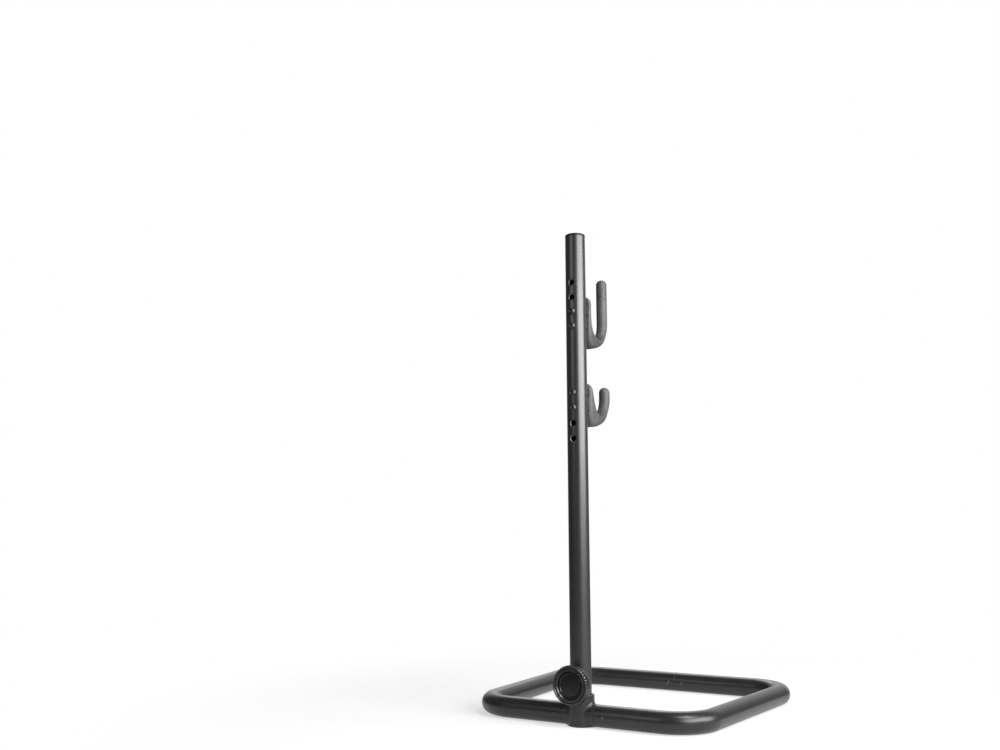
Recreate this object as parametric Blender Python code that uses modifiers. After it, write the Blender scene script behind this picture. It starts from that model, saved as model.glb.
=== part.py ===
"""A floor stand that lifts a bicycle by its stays.

A loop of round tube lies on the floor. A cast socket in its front run carries a post, a hand knob
clamps the post to a spigot inside it, and two rubber-coated hooks are bolted to the post.
The origin is on the floor, on the post's axis. The hooks point to +Y and the knob faces -Y.
"""

import math

import bmesh
import bpy
from mathutils import Matrix, Vector

STAND = "bike_repair_stand"

# Clearances between pieces
GAP = 0.0003

# Base loop, on the tube's centre line
LOOP_RADIUS = 0.014
LOOP_WALL = 0.002
LOOP_FRONT_HALF = 0.156
LOOP_REAR_HALF = 0.181
LOOP_DEPTH = 0.343
BEND_RADIUS = 0.052
SLEEVE_WALL = 0.002
SLEEVE_HALF = 0.030

# Post and its cross holes
POST_RADIUS = 0.014
POST_WALL = 0.002
POST_HEIGHT = 0.6615
CAP_THICKNESS = 0.0024
CAP_EDGE = 0.0012
CAP_SKIRT = 0.012
CAP_WALL = 0.002
CROSS_HOLE_RADIUS = 0.0042
CROSS_HOLE_PITCH = 0.0208
CROSS_HOLES = 4
UPPER_GROUP_DROP = 0.0713
LOWER_GROUP_DROP = 0.2265

# Cast socket
BUSH_WALL = 0.0009
NECK_WALL = 0.002
NECK_RIM = 0.0010
NECK_CLEAR = 0.006
SOCKET_FLOOR = 0.006
SPIGOT_RISE = 0.022
FILLET_RADIUS = 0.005
COLLAR_LAND = 0.0005
PLUG_LENGTH = 0.027

# Knob and clamp
KNOB_RADIUS = 0.0245
KNOB_THICKNESS = 0.0130
KNOB_TEETH = 38
TOOTH_DEPTH = 0.0009
KNOB_EDGE = 0.0012
KNOB_TUBE_CLEAR = 0.0008
KNOB_BOSS_CLEAR = 0.0006
RIM_WIDTH = 0.0070
DISH_DEPTH = 0.0036
GROOVE_FROM_DISH = 0.0023
GROOVE_WIDTH = 0.0012
GROOVE_DEPTH = 0.0010
DISC_THICKNESS = 0.0016
DISC_LIP = 0.0006
DISC_LIP_WIDTH = 0.0014
STUD_RADIUS = 0.004
STUD_HEAD_FLATS = 0.013
STUD_HEAD_HEIGHT = 0.0045
BOSS_RADIUS = 0.008
BOSS_LENGTH = 0.006

# Hooks
PLATE_WIDTH = 0.028
PLATE_THICKNESS = 0.006
SADDLE_THICKNESS = 0.0019
SADDLE_WIDTH = 0.0205
SADDLE_HEIGHT = 0.010
PRONG_RADIUS = 0.00775
SWEEP_RISE = 0.049
COAT_WALL = 0.0013
CORE_WIDTH_SHARE = 0.6
CORE_TOP_DEPTH = 0.011
CORE_PRONG_DEPTH = 0.010

# Shape of the hooks' sections: 2 is an ellipse, and higher is closer to a box
HEEL_SQUARENESS = 5.0
PLATE_SQUARENESS = 4.0
PLATE_TOP_SQUARENESS = 2.5
CORE_SQUARENESS = 6.0
ROUND = 2.0
PLATE_TOP_THINNING = 0.55
TAPER_START = 0.42
TAPER_END = 0.85

# Per hook: its upper screw below the post's top, heights measured from its two screws, and its throat
HOOKS = {
    "upper_hook": {
        "screw_drop": UPPER_GROUP_DROP + 2 * CROSS_HOLE_PITCH,
        "plate_rise": 0.0274,
        "prong_rise": 0.0669,
        "heel_drop": 0.0257,
        "floor_drop": 0.0083,
        "throat_width": 0.0540,
        "throat_rise": 0.0325,
        "throat_squareness": 2.0,
    },
    "lower_hook": {
        "screw_drop": LOWER_GROUP_DROP,
        "plate_rise": 0.0175,
        "prong_rise": 0.0205,
        "heel_drop": 0.0232,
        "floor_drop": 0.0042,
        "throat_width": 0.0578,
        "throat_rise": 0.0500,
        "throat_squareness": 1.75,
    },
}

# Fasteners
HOOK_SCREW_RADIUS = 0.003
HOOK_SCREW_SEAT = 0.00105
HOOK_SCREW_DOME = 0.0030
HOOK_SCREW_KEY = 0.004
HOOK_SCREW_KEY_DEPTH = 0.0018
HOOK_SCREW_END = 0.0012
BASE_SCREW_RADIUS = 0.0020
BASE_SCREW_SEAT = 0.0009
BASE_SCREW_DOME = 0.0012
BASE_SCREW_KEY = 0.0020
BASE_SCREW_KEY_DEPTH = 0.0008
BASE_SCREW_LENGTH = 0.009
BASE_SCREW_FROM_SEAM = 0.012
RIVET_RADIUS = 0.0022
RIVET_SEAT = 0.0014
RIVET_DOME = 0.0013
RIVET_SPREAD = 0.011

# Facets round the turned and swept pieces, and steps along them
TUBE_SIDES = 20
BORE_SIDES = 14
POST_SIDES = 32
HOLE_SIDES = 12
KNOB_SIDES = 40
SCREW_SIDES = 14
HOOK_SIDES = 16
CORE_SIDES = 8
BEND_STEPS = 8
FILLET_STEPS = 5
DOME_STEPS = 4
PLATE_STEPS = 4
THROAT_STEPS = 7
OVERCUT = 0.005

# Sizes that follow from those above
BORE_FLAT = math.cos(math.pi / BORE_SIDES)
PLUG_RADIUS = (LOOP_RADIUS - LOOP_WALL) * BORE_FLAT - GAP
SPIGOT_RADIUS = POST_RADIUS - POST_WALL - GAP
BUSH_INNER = POST_RADIUS + GAP
BUSH_OUTER = BUSH_INNER + BUSH_WALL
SOCKET_RADIUS = BUSH_OUTER + GAP
NECK_RADIUS = SOCKET_RADIUS + NECK_WALL
COLLAR_REACH = NECK_RADIUS + FILLET_RADIUS + COLLAR_LAND
CLAMP_HEIGHT = 2 * LOOP_RADIUS + KNOB_TUBE_CLEAR + KNOB_RADIUS
NECK_TOP = CLAMP_HEIGHT - BOSS_RADIUS - NECK_CLEAR
SPIGOT_TOP = CLAMP_HEIGHT + SPIGOT_RISE
POST_FOOT = SOCKET_FLOOR + GAP
POST_TOP = POST_HEIGHT - CAP_THICKNESS - GAP
BOSS_FRONT = POST_RADIUS + BOSS_LENGTH
KNOB_BACK = BOSS_FRONT + KNOB_BOSS_CLEAR
DISH_RADIUS = KNOB_RADIUS - RIM_WIDTH
GROOVE_RADIUS = DISH_RADIUS + GROOVE_FROM_DISH
PAD_RADIUS = STUD_RADIUS - GAP
PAD_BACK = SPIGOT_RADIUS + GAP
PAD_FRONT = POST_RADIUS + GAP
STUD_TIP = PAD_FRONT + GAP
STUD_BORE = STUD_RADIUS + GAP
PLATE_FRONT = POST_RADIUS + SADDLE_THICKNESS + 2 * GAP
PLATE_BACK = PLATE_FRONT + PLATE_THICKNESS
CORE_THICKNESS = PLATE_THICKNESS - 2 * COAT_WALL
HOOK_SCREW_HEAD = CROSS_HOLE_RADIUS + HOOK_SCREW_SEAT
SCREW_SEAT = POST_RADIUS + GAP
SCREW_TIP = PLATE_BACK - HOOK_SCREW_END
BASE_SCREW_X = COLLAR_REACH + BASE_SCREW_FROM_SEAM


def clear_scene():
    for item in list(bpy.data.objects):
        bpy.data.objects.remove(item, do_unlink=True)


def new_group(name):
    group = bpy.data.collections.new(name)
    bpy.context.scene.collection.children.link(group)
    return group


def finish(name, colour, roughness, metallic):
    """A Principled material in one plain colour."""
    material = bpy.data.materials.new(name)
    material.use_nodes = True
    shader = material.node_tree.nodes["Principled BSDF"]
    shader.inputs["Base Color"].default_value = (*colour, 1.0)
    shader.inputs["Roughness"].default_value = roughness
    shader.inputs["Metallic"].default_value = metallic
    return material


clear_scene()
PARTS = new_group(STAND)
CUTTERS = new_group(STAND + "_cutters")
POWDER_COAT = finish("black_powder_coat", (0.028, 0.028, 0.031), 0.42, 0.2)
CAST_PAINT = finish("black_cast_paint", (0.032, 0.032, 0.035), 0.48, 0.2)
KNOB_PLASTIC = finish("black_knob_plastic", (0.018, 0.018, 0.019), 0.35, 0.0)
CAP_PLASTIC = finish("black_cap_plastic", (0.015, 0.015, 0.016), 0.28, 0.0)
HOOK_RUBBER = finish("grey_black_rubber", (0.085, 0.085, 0.088), 0.75, 0.0)
BARE_STEEL = finish("zinc_steel", (0.55, 0.55, 0.56), 0.35, 1.0)
DARK_STEEL = finish("blackened_steel", (0.06, 0.06, 0.063), 0.38, 0.9)
BUSH_NYLON = finish("black_nylon", (0.03, 0.03, 0.03), 0.5, 0.0)


def add(name, data, material=None):
    """A part when it has a material, and otherwise a tool that shapes parts."""
    item = bpy.data.objects.new(name, data)
    if material is None:
        CUTTERS.objects.link(item)
        item.hide_render = True
        item.display_type = "WIRE"
        return item
    PARTS.objects.link(item)
    item.data.materials.append(material)
    return item


def add_bmesh(name, shape, material=None):
    mesh = bpy.data.meshes.new(name)
    shape.to_mesh(mesh)
    shape.free()
    mesh.shade_smooth()
    mesh.set_sharp_from_angle(angle=math.radians(35))
    return add(name, mesh, material)


def boolean(part, tool, operation):
    step = part.modifiers.new(operation.lower() + "_" + tool.name, "BOOLEAN")
    step.operation = operation
    step.object = tool


def cut(part, *tools):
    for tool in tools:
        boolean(part, tool, "DIFFERENCE")


def join(part, *tools):
    for tool in tools:
        boolean(part, tool, "UNION")


def turned(name, profile, sides, material=None, closed=False):
    """Revolves a radius and height profile round Z. It runs down its outer side."""
    mesh = bpy.data.meshes.new(name)
    points = [(radius, 0.0, height) for radius, height in profile]
    edges = [(i, i + 1) for i in range(len(points) - 1)]
    if closed:
        edges.append((len(points) - 1, 0))
    mesh.from_pydata(points, edges, [])
    part = add(name, mesh, material)
    screw = part.modifiers.new("turn", "SCREW")
    screw.steps = sides
    screw.render_steps = sides
    screw.use_smooth_shade = True
    screw.use_merge_vertices = True
    screw.merge_threshold = 0.00001
    return part


def turned_tube(name, inner, outer, low, high, sides, material=None):
    profile = [(outer, high), (outer, low), (inner, low), (inner, high)]
    return turned(name, profile, sides, material, closed=True)


def rods(name, radius, ends, sides):
    """A tool made of straight round rods, each given by its two end points."""
    shape = bmesh.new()
    for start, end in ends:
        along = Vector(end) - Vector(start)
        turn = along.to_track_quat("Z", "Y").to_matrix().to_4x4()
        place = Matrix.Translation((Vector(start) + Vector(end)) / 2) @ turn
        bmesh.ops.create_cone(shape, cap_ends=True, segments=sides, radius1=radius, radius2=radius,
                              depth=along.length, matrix=place)
    return add_bmesh(name, shape)


def loft(name, rings, material=None):
    """A closed skin over a row of rings that have equal counts of points."""
    shape = bmesh.new()
    rows = [[shape.verts.new(place) for place in ring] for ring in rings]
    for near, far in zip(rows, rows[1:]):
        for i, start in enumerate(near):
            j = (i + 1) % len(near)
            shape.faces.new((start, near[j], far[j], far[i]))
    shape.faces.new(rows[0])
    shape.faces.new(rows[-1])
    bmesh.ops.recalc_face_normals(shape, faces=shape.faces)
    return add_bmesh(name, shape, material)


def swept(name, route, radius, sides, material=None):
    """A round bar along a route of points, made a mesh so that it can be cut."""
    curve = bpy.data.curves.new(name + "_route", "CURVE")
    curve.dimensions = "3D"
    curve.bevel_depth = radius
    curve.bevel_resolution = sides // 2 - 2
    curve.use_fill_caps = True
    spline = curve.splines.new("POLY")
    spline.points.add(len(route) - 1)
    for point, place in zip(spline.points, route):
        point.co = (*place, 1.0)
    guide = bpy.data.objects.new(name + "_route", curve)
    CUTTERS.objects.link(guide)
    depsgraph = bpy.context.evaluated_depsgraph_get()
    skin = bpy.data.meshes.new_from_object(guide.evaluated_get(depsgraph))
    shape = bmesh.new()
    shape.from_mesh(skin)
    bmesh.ops.remove_doubles(shape, verts=shape.verts, dist=0.00001)
    bmesh.ops.recalc_face_normals(shape, faces=shape.faces)
    part = add_bmesh(name, shape, material)
    part.matrix_world = guide.matrix_world
    bpy.data.objects.remove(guide, do_unlink=True)
    return part


def rounded_corner(before, corner, after, radius, steps):
    """Points along the arc that rounds one corner of a route."""
    to_before = (before - corner).normalized()
    to_after = (after - corner).normalized()
    half = to_before.angle(to_after) / 2
    centre = corner + (to_before + to_after).normalized() * radius / math.sin(half)
    start = corner + to_before * radius / math.tan(half) - centre
    end = corner + to_after * radius / math.tan(half) - centre
    return [centre + start.slerp(end, i / steps).normalized() * radius for i in range(steps + 1)]


def loop_route(side, front_x, rear_x):
    """Half of the base loop, from its front end round two bends to its rear end."""
    front_corner = Vector((side * LOOP_FRONT_HALF, 0.0, LOOP_RADIUS))
    rear_corner = Vector((side * LOOP_REAR_HALF, LOOP_DEPTH, LOOP_RADIUS))
    front_end = Vector((side * front_x, 0.0, LOOP_RADIUS))
    rear_end = Vector((side * rear_x, LOOP_DEPTH, LOOP_RADIUS))
    front_bend = rounded_corner(front_end, front_corner, rear_corner, BEND_RADIUS, BEND_STEPS)
    rear_bend = rounded_corner(front_corner, rear_corner, rear_end, BEND_RADIUS, BEND_STEPS)
    return [front_end, *front_bend, *rear_bend, rear_end]


def mirrored_pairs(x, start_y, end_y, height):
    """End points of two rods along Y, one on each side of the middle."""
    return [((side * x, start_y, height), (side * x, end_y, height)) for side in (-1, 1)]


def make_base_loop():
    screw_lines = mirrored_pairs(BASE_SCREW_X, -LOOP_RADIUS - OVERCUT, BASE_SCREW_LENGTH - LOOP_RADIUS + GAP,
                                 LOOP_RADIUS)
    screw_holes = rods("base_screw_holes", BASE_SCREW_RADIUS + GAP, screw_lines, HOLE_SIDES)
    rivet_lines = mirrored_pairs(RIVET_SPREAD, LOOP_DEPTH - LOOP_RADIUS - OVERCUT, LOOP_DEPTH, LOOP_RADIUS)
    rivet_holes = rods("rear_rivet_holes", RIVET_RADIUS + GAP, rivet_lines, HOLE_SIDES)
    halves = []
    for side, word in ((-1, "left"), (1, "right")):
        tube = swept("base_tube_" + word, loop_route(side, COLLAR_REACH + GAP, GAP / 2), LOOP_RADIUS,
                     TUBE_SIDES, POWDER_COAT)
        bore = swept("base_bore_" + word, loop_route(side, COLLAR_REACH - OVERCUT, -OVERCUT),
                     LOOP_RADIUS - LOOP_WALL, BORE_SIDES)
        cut(tube, bore, screw_holes, rivet_holes)
        halves.append(tube)
    sleeve = turned_tube("rear_sleeve", PLUG_RADIUS - SLEEVE_WALL, PLUG_RADIUS, -SLEEVE_HALF, SLEEVE_HALF,
                         BORE_SIDES, BARE_STEEL)
    sleeve.rotation_euler = (0.0, math.pi / 2, 0.0)
    sleeve.location = (0.0, LOOP_DEPTH, LOOP_RADIUS)
    cut(sleeve, rivet_holes)
    pieces = [*halves, sleeve, make_post_socket(screw_holes)]
    for side, word in ((-1, "left"), (1, "right")):
        rivet = domed_pin("rear_rivet_" + word, RIVET_RADIUS + RIVET_SEAT, RIVET_DOME, RIVET_RADIUS,
                          LOOP_WALL + SLEEVE_WALL + 2 * GAP)
        rivet.location = (side * RIVET_SPREAD, LOOP_DEPTH - LOOP_RADIUS - GAP, LOOP_RADIUS)
        screw = domed_pin("base_screw_" + word, BASE_SCREW_RADIUS + BASE_SCREW_SEAT, BASE_SCREW_DOME,
                          BASE_SCREW_RADIUS, BASE_SCREW_LENGTH, BASE_SCREW_KEY, BASE_SCREW_KEY_DEPTH)
        screw.location = (side * BASE_SCREW_X, -LOOP_RADIUS - GAP, LOOP_RADIUS)
        pieces += [rivet, screw]
    return pieces


def domed_pin(name, head, dome, shank, length, key=0.0, key_depth=0.0):
    """A domed head at the origin that faces -Y, with a shank along +Y and any hexagon socket."""
    swell = (head * head + dome * dome) / (2 * dome)
    spread = math.asin(head / swell)
    tilts = [spread * i / DOME_STEPS for i in range(DOME_STEPS + 1)]
    arc = [(swell * math.sin(tilt), dome - swell + swell * math.cos(tilt)) for tilt in tilts]
    pin = turned(name, [*arc, (shank, 0.0), (shank, -length), (0.0, -length)], SCREW_SIDES, DARK_STEEL)
    pin.rotation_euler = (math.pi / 2, 0.0, 0.0)
    if key:
        ends = ((0.0, 0.0, dome - key_depth), (0.0, 0.0, dome + OVERCUT))
        socket = rods(name + "_key", key / math.sqrt(3), [ends], 6)
        socket.parent = pin
        cut(pin, socket)
    return pin


def filleted_collar(name, side):
    """A round collar along X that a rolling ball fillets into the neck.

    A ball that touches both cylinders has its centre where the two cylinders, grown by the ball,
    meet. Each line along the collar runs in to its touching point, over the ball to the neck's
    touching point, and on to the middle of the neck.
    """
    neck = NECK_RADIUS - GAP
    lines = []
    for i in range(TUBE_SIDES):
        angle = 2 * math.pi * i / TUBE_SIDES
        around = Vector((0.0, math.sin(angle), math.cos(angle)))
        ball = around * (LOOP_RADIUS + FILLET_RADIUS)
        ball.x = math.sqrt((neck + FILLET_RADIUS) ** 2 - ball.y ** 2)
        to_neck = Vector((-ball.x, -ball.y, 0.0)).normalized()
        line = [around * LOOP_RADIUS + Vector((COLLAR_REACH, 0.0, 0.0))]
        for k in range(FILLET_STEPS + 1):
            line.append(ball + (-around).slerp(to_neck, k / FILLET_STEPS).normalized() * FILLET_RADIUS)
        line.append(around * LOOP_RADIUS / 4 + Vector((NECK_RADIUS / 4, 0.0, 0.0)))
        lines.append([Vector((side * p.x, p.y, p.z + LOOP_RADIUS)) for p in line])
    return loft(name, list(zip(*lines)))


def make_post_socket(screw_holes):
    below = -2 * OVERCUT
    rim = rounded_rim(NECK_RADIUS, NECK_TOP, NECK_RIM)
    socket = turned("post_socket", [(0.0, NECK_TOP), *rim, (NECK_RADIUS, below), (0.0, below)], POST_SIDES,
                    CAST_PAINT)
    join(socket, filleted_collar("collar_left", -1), filleted_collar("collar_right", 1))
    floor = bmesh.new()
    bmesh.ops.create_cube(floor, size=1.0, matrix=Matrix.Translation((0.0, 0.0, -0.5)))
    bore_ends = ((0.0, 0.0, SOCKET_FLOOR), (0.0, 0.0, NECK_TOP + OVERCUT))
    bore = rods("socket_bore", SOCKET_RADIUS, [bore_ends], POST_SIDES)
    spigot_ends = ((0.0, 0.0, SOCKET_FLOOR / 2), (0.0, 0.0, SPIGOT_TOP))
    spigot = rods("spigot", SPIGOT_RADIUS, [spigot_ends], POST_SIDES)
    plug_ends = [((side * (COLLAR_REACH - COLLAR_LAND), 0.0, LOOP_RADIUS),
                  (side * (COLLAR_REACH + PLUG_LENGTH), 0.0, LOOP_RADIUS)) for side in (-1, 1)]
    plugs = rods("plugs", PLUG_RADIUS, plug_ends, BORE_SIDES)
    cut(socket, add_bmesh("floor", floor), bore)
    join(socket, spigot, plugs)
    cut(socket, screw_holes)
    return socket


def make_bush():
    return turned_tube("socket_bush", BUSH_INNER, BUSH_OUTER, POST_FOOT, NECK_TOP, POST_SIDES, BUSH_NYLON)


def rounded_rim(radius, top, edge):
    """Profile points round the top edge of a turned piece."""
    return [(radius - edge + edge * math.sin(tilt), top - edge + edge * math.cos(tilt))
            for tilt in (0.0, math.pi / 4, math.pi / 2)]


def hole_heights(group_drop):
    return [POST_HEIGHT - group_drop - CROSS_HOLE_PITCH * row for row in range(CROSS_HOLES)]


def make_post():
    tube = turned_tube("post_tube", POST_RADIUS - POST_WALL, POST_RADIUS, POST_FOOT, POST_TOP, POST_SIDES,
                       POWDER_COAT)
    reach = POST_RADIUS + OVERCUT
    heights = hole_heights(UPPER_GROUP_DROP) + hole_heights(LOWER_GROUP_DROP)
    hole_ends = [((0.0, -reach, z), (0.0, reach, z)) for z in heights]
    holes = rods("cross_holes", CROSS_HOLE_RADIUS, hole_ends, HOLE_SIDES)
    clamp_ends = ((0.0, -reach - BOSS_LENGTH, CLAMP_HEIGHT), (0.0, 0.0, CLAMP_HEIGHT))
    clamp_hole = rods("clamp_hole", STUD_BORE, [clamp_ends], HOLE_SIDES)
    cut(tube, holes, clamp_hole)
    edge = rounded_rim(POST_RADIUS, POST_HEIGHT, CAP_EDGE)
    seat = POST_HEIGHT - CAP_THICKNESS
    skirt = [(SPIGOT_RADIUS, seat), (SPIGOT_RADIUS, seat - CAP_SKIRT),
             (SPIGOT_RADIUS - CAP_WALL, seat - CAP_SKIRT), (SPIGOT_RADIUS - CAP_WALL, seat), (0.0, seat)]
    cap_profile = [(0.0, POST_HEIGHT), *edge, (POST_RADIUS, seat), *skirt]
    cap = turned("post_cap", cap_profile, POST_SIDES, CAP_PLASTIC)
    boss_profile = [(0.0, BOSS_FRONT), (BOSS_RADIUS, BOSS_FRONT), (BOSS_RADIUS, 0.0), (0.0, 0.0)]
    boss = turned("clamp_boss", boss_profile, BORE_SIDES, POWDER_COAT)
    boss.rotation_euler = (math.pi / 2, 0.0, 0.0)
    boss.location = (0.0, 0.0, CLAMP_HEIGHT)
    post_ends = ((0.0, 0.0, 0.0), (0.0, 0.0, POST_HEIGHT))
    post_clear = rods("post_clear", POST_RADIUS + GAP, [post_ends], POST_SIDES)
    cut(boss, post_clear, clamp_hole)
    pieces = [tube, cap, boss]
    for name, hook in HOOKS.items():
        pieces += make_hook(name, hook, post_clear)
    return pieces


def superellipse(angle, squareness):
    """Cosine and sine of an angle, pushed out towards a square."""
    power = 2 / squareness
    return (math.copysign(abs(math.cos(angle)) ** power, math.cos(angle)),
            math.copysign(abs(math.sin(angle)) ** power, math.sin(angle)))


def squared_corner(angle, squareness):
    """The point of the same curve that lies in a direction, so that steps stay even."""
    across, up = math.cos(angle), math.sin(angle)
    reach = (across ** squareness + up ** squareness) ** (-1 / squareness)
    return reach * across, reach * up


def eased(share):
    """A share from 0 to 1 that starts and ends gently, and stays level outside."""
    share = min(1.0, max(0.0, share))
    return share * share * (3 - 2 * share)


def plate_stations(hook, top, throat_top):
    """The plate's round top. A sloping throat already thickens it where it reaches this high."""
    half = hook["throat_width"] / 2
    radius = PLATE_WIDTH / 2
    stations = []
    for i in range(1, PLATE_STEPS + 2):
        tilt = math.pi / 2 * i / (PLATE_STEPS + 1)
        up, aside = superellipse(tilt, PLATE_TOP_SQUARENESS)
        z = top - radius * (1 - up)
        fall = max(0.0, throat_top - z) / hook["throat_rise"]
        squareness = hook["throat_squareness"]
        swell = half * (1 - (1 - fall ** squareness) ** (1 / squareness))
        half_depth = (PLATE_THICKNESS + swell) / 2
        thin = half_depth * (1 - PLATE_TOP_THINNING * math.cos(tilt) ** 4)
        middle = PLATE_FRONT + half_depth
        stations.append(((middle + thin, z), (middle - thin, z), 2 * radius * aside, 0.0))
    return stations


def throat_stations(hook, top, throat_top, floor, heel):
    """The throat's plate side is a quarter of a superellipse and its prong side a quarter circle.

    The outside runs down the plate's front, turns at the heel and sweeps up on a quarter ellipse.
    """
    half = hook["throat_width"] / 2
    centre = PLATE_BACK + half
    reach = PLATE_THICKNESS + hook["throat_width"] + 2 * PRONG_RADIUS
    start = min(top - PLATE_WIDTH / 2, throat_top)
    squareness = hook["throat_squareness"]
    first_turn = math.asin(((throat_top - start) / hook["throat_rise"]) ** (squareness / 2))
    first_sweep = math.asin((centre - PLATE_FRONT) / reach)
    stations = []
    for i in range(1, 2 * THROAT_STEPS + 1):
        share = i / THROAT_STEPS
        if share <= 1:
            along, down = superellipse(first_turn + (math.pi / 2 - first_turn) * share, squareness)
            inner = (centre - half * along, throat_top - hook["throat_rise"] * down)
            along, down = squared_corner(math.pi / 2 * share, HEEL_SQUARENESS)
            y = centre - (centre - PLATE_FRONT) * along
            bottom = heel + SWEEP_RISE * (1 - math.sqrt(1 - ((y - PLATE_FRONT) / reach) ** 2))
            outer = (y, start - (start - bottom) * down)
        else:
            turn = math.pi / 2 * (share - 1)
            inner = (centre + half * math.sin(turn), floor + half * (1 - math.cos(turn)))
            sweep = first_sweep + (math.pi / 2 - first_sweep) * (share - 1)
            outer = (PLATE_FRONT + reach * math.sin(sweep), heel + SWEEP_RISE * (1 - math.cos(sweep)))
        taper = eased((share / 2 - TAPER_START) / (TAPER_END - TAPER_START))
        width = PLATE_WIDTH + (2 * PRONG_RADIUS - PLATE_WIDTH) * taper
        stations.append((inner, outer, width, taper))
    return stations


def prong_stations(hook, prong_top):
    """The prong's straight end and its dome."""
    inner = PLATE_BACK + hook["throat_width"]
    stations = []
    for i in range(DOME_STEPS + 1):
        tilt = math.pi / 2 * i / (DOME_STEPS + 1 / 3)
        z = prong_top - PRONG_RADIUS * (1 - math.sin(tilt))
        inset = PRONG_RADIUS * (1 - math.cos(tilt))
        outer = inner + 2 * PRONG_RADIUS
        stations.append(((inner + inset, z), (outer - inset, z), 2 * PRONG_RADIUS - 2 * inset, 1.0))
    return stations


def section_ring(middle, across, half_depth, half_width, squareness, sides):
    """One closed section: half_depth runs along across in the YZ plane, half_width along X."""
    ring = []
    for i in range(sides):
        along, aside = superellipse(2 * math.pi * i / sides, squareness)
        ring.append(Vector((half_width * aside, 0.0, 0.0)) + middle + across * half_depth * along)
    return ring


def coat_rings(stations):
    """The coat's sections, from a rounded box on the plate to a circle on the prong."""
    rings = []
    for inner, outer, width, taper in stations:
        outside = Vector((0.0, *outer))
        across = Vector((0.0, *inner)) - outside
        squareness = PLATE_SQUARENESS + (ROUND - PLATE_SQUARENESS) * taper
        rings.append(section_ring(outside + across / 2, across.normalized(), across.length / 2, width / 2,
                                  squareness, HOOK_SIDES))
    return rings


def square_to(along):
    """The direction at a right angle to a step in the YZ plane, towards the hook's throat."""
    return Vector((0.0, -along.z, along.y)).normalized()


def core_route(hook, stations, top, prong_top, grow):
    """Middle points and widths of the core: behind the plate, round the heel, up the prong's middle."""
    outsides = [Vector((0.0, *station[1])) for station in stations]
    prong_middle = PLATE_BACK + hook["throat_width"] + PRONG_RADIUS
    route = [(Vector((0.0, PLATE_FRONT + PLATE_THICKNESS / 2, top - CORE_TOP_DEPTH + grow)), PLATE_WIDTH)]
    for i in range(PLATE_STEPS + 1, PLATE_STEPS + 1 + 2 * THROAT_STEPS):
        inner, _, width, taper = stations[i]
        depth = (Vector((0.0, *inner)) - outsides[i]).length
        inset = PLATE_THICKNESS / 2 + (depth - PLATE_THICKNESS) / 2 * taper
        route.append((outsides[i] + square_to(outsides[i + 1] - outsides[i - 1]) * inset, width))
    route.append((Vector((0.0, prong_middle, prong_top - CORE_PRONG_DEPTH + grow)), 2 * PRONG_RADIUS))
    return route


def core_rings(route, grow):
    """Sections of a flat bar that stays square to its route."""
    rings = []
    for i, (middle, width) in enumerate(route):
        across = square_to(route[min(i + 1, len(route) - 1)][0] - route[max(i - 1, 0)][0])
        half_width = CORE_WIDTH_SHARE * width / 2 + grow
        rings.append(section_ring(middle, across, CORE_THICKNESS / 2 + grow, half_width, CORE_SQUARENESS,
                                  CORE_SIDES))
    return rings


def make_hook(name, hook, post_clear):
    screw_top = POST_HEIGHT - hook["screw_drop"]
    screw_low = screw_top - CROSS_HOLE_PITCH
    top = screw_top + hook["plate_rise"]
    prong_top = screw_top + hook["prong_rise"]
    floor = screw_low - hook["floor_drop"]
    throat_top = floor + hook["throat_rise"]
    stations = [*plate_stations(hook, top, throat_top),
                *throat_stations(hook, top, throat_top, floor, screw_low - hook["heel_drop"]),
                *prong_stations(hook, prong_top)]
    hole_ends = [((0.0, 0.0, z), (0.0, SCREW_TIP + GAP, z)) for z in (screw_low, screw_top)]
    screw_holes = rods(name + "_screw_holes", HOOK_SCREW_RADIUS + GAP, hole_ends, HOLE_SIDES)
    coat = loft(name + "_coat", coat_rings(stations), HOOK_RUBBER)
    core_space = loft(name + "_core_space", core_rings(core_route(hook, stations, top, prong_top, GAP), GAP))
    core = loft(name + "_core", core_rings(core_route(hook, stations, top, prong_top, 0.0), 0.0), BARE_STEEL)
    cut(coat, core_space, screw_holes)
    cut(core, screw_holes)
    pieces = [coat, core]
    for word, height in (("low", screw_low), ("top", screw_top)):
        saddle = make_saddle(name + "_saddle_" + word, height)
        cut(saddle, post_clear, screw_holes)
        screw = domed_pin(name + "_screw_" + word, HOOK_SCREW_HEAD, HOOK_SCREW_DOME, HOOK_SCREW_RADIUS,
                          SCREW_SEAT + SCREW_TIP, HOOK_SCREW_KEY, HOOK_SCREW_KEY_DEPTH)
        screw.location = (0.0, -SCREW_SEAT, height)
        pieces += [saddle, screw]
    return pieces


def make_saddle(name, height):
    """An oval block from the post's axis to the hook's plate, before it is hollowed to the post."""
    depth = PLATE_FRONT - GAP
    oval = Matrix.Diagonal((SADDLE_WIDTH / 2, 1.0, SADDLE_HEIGHT / 2, 1.0))
    place = Matrix.Translation((0.0, depth / 2, height))
    shape = bmesh.new()
    bmesh.ops.create_cone(shape, cap_ends=True, segments=BORE_SIDES, radius1=1.0, radius2=1.0, depth=depth,
                          matrix=place @ oval @ Matrix.Rotation(math.pi / 2, 4, "X"))
    return add_bmesh(name, shape, CAP_PLASTIC)


def knob_outline():
    """Flat-topped teeth round the knob's rim."""
    points = []
    for tooth in range(KNOB_TEETH):
        for share, radius in ((-0.36, KNOB_RADIUS - TOOTH_DEPTH), (-0.14, KNOB_RADIUS), (0.14, KNOB_RADIUS),
                              (0.36, KNOB_RADIUS - TOOTH_DEPTH)):
            angle = 2 * math.pi * (tooth + share) / KNOB_TEETH
            points.append((radius * math.cos(angle), radius * math.sin(angle)))
    return points


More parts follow.
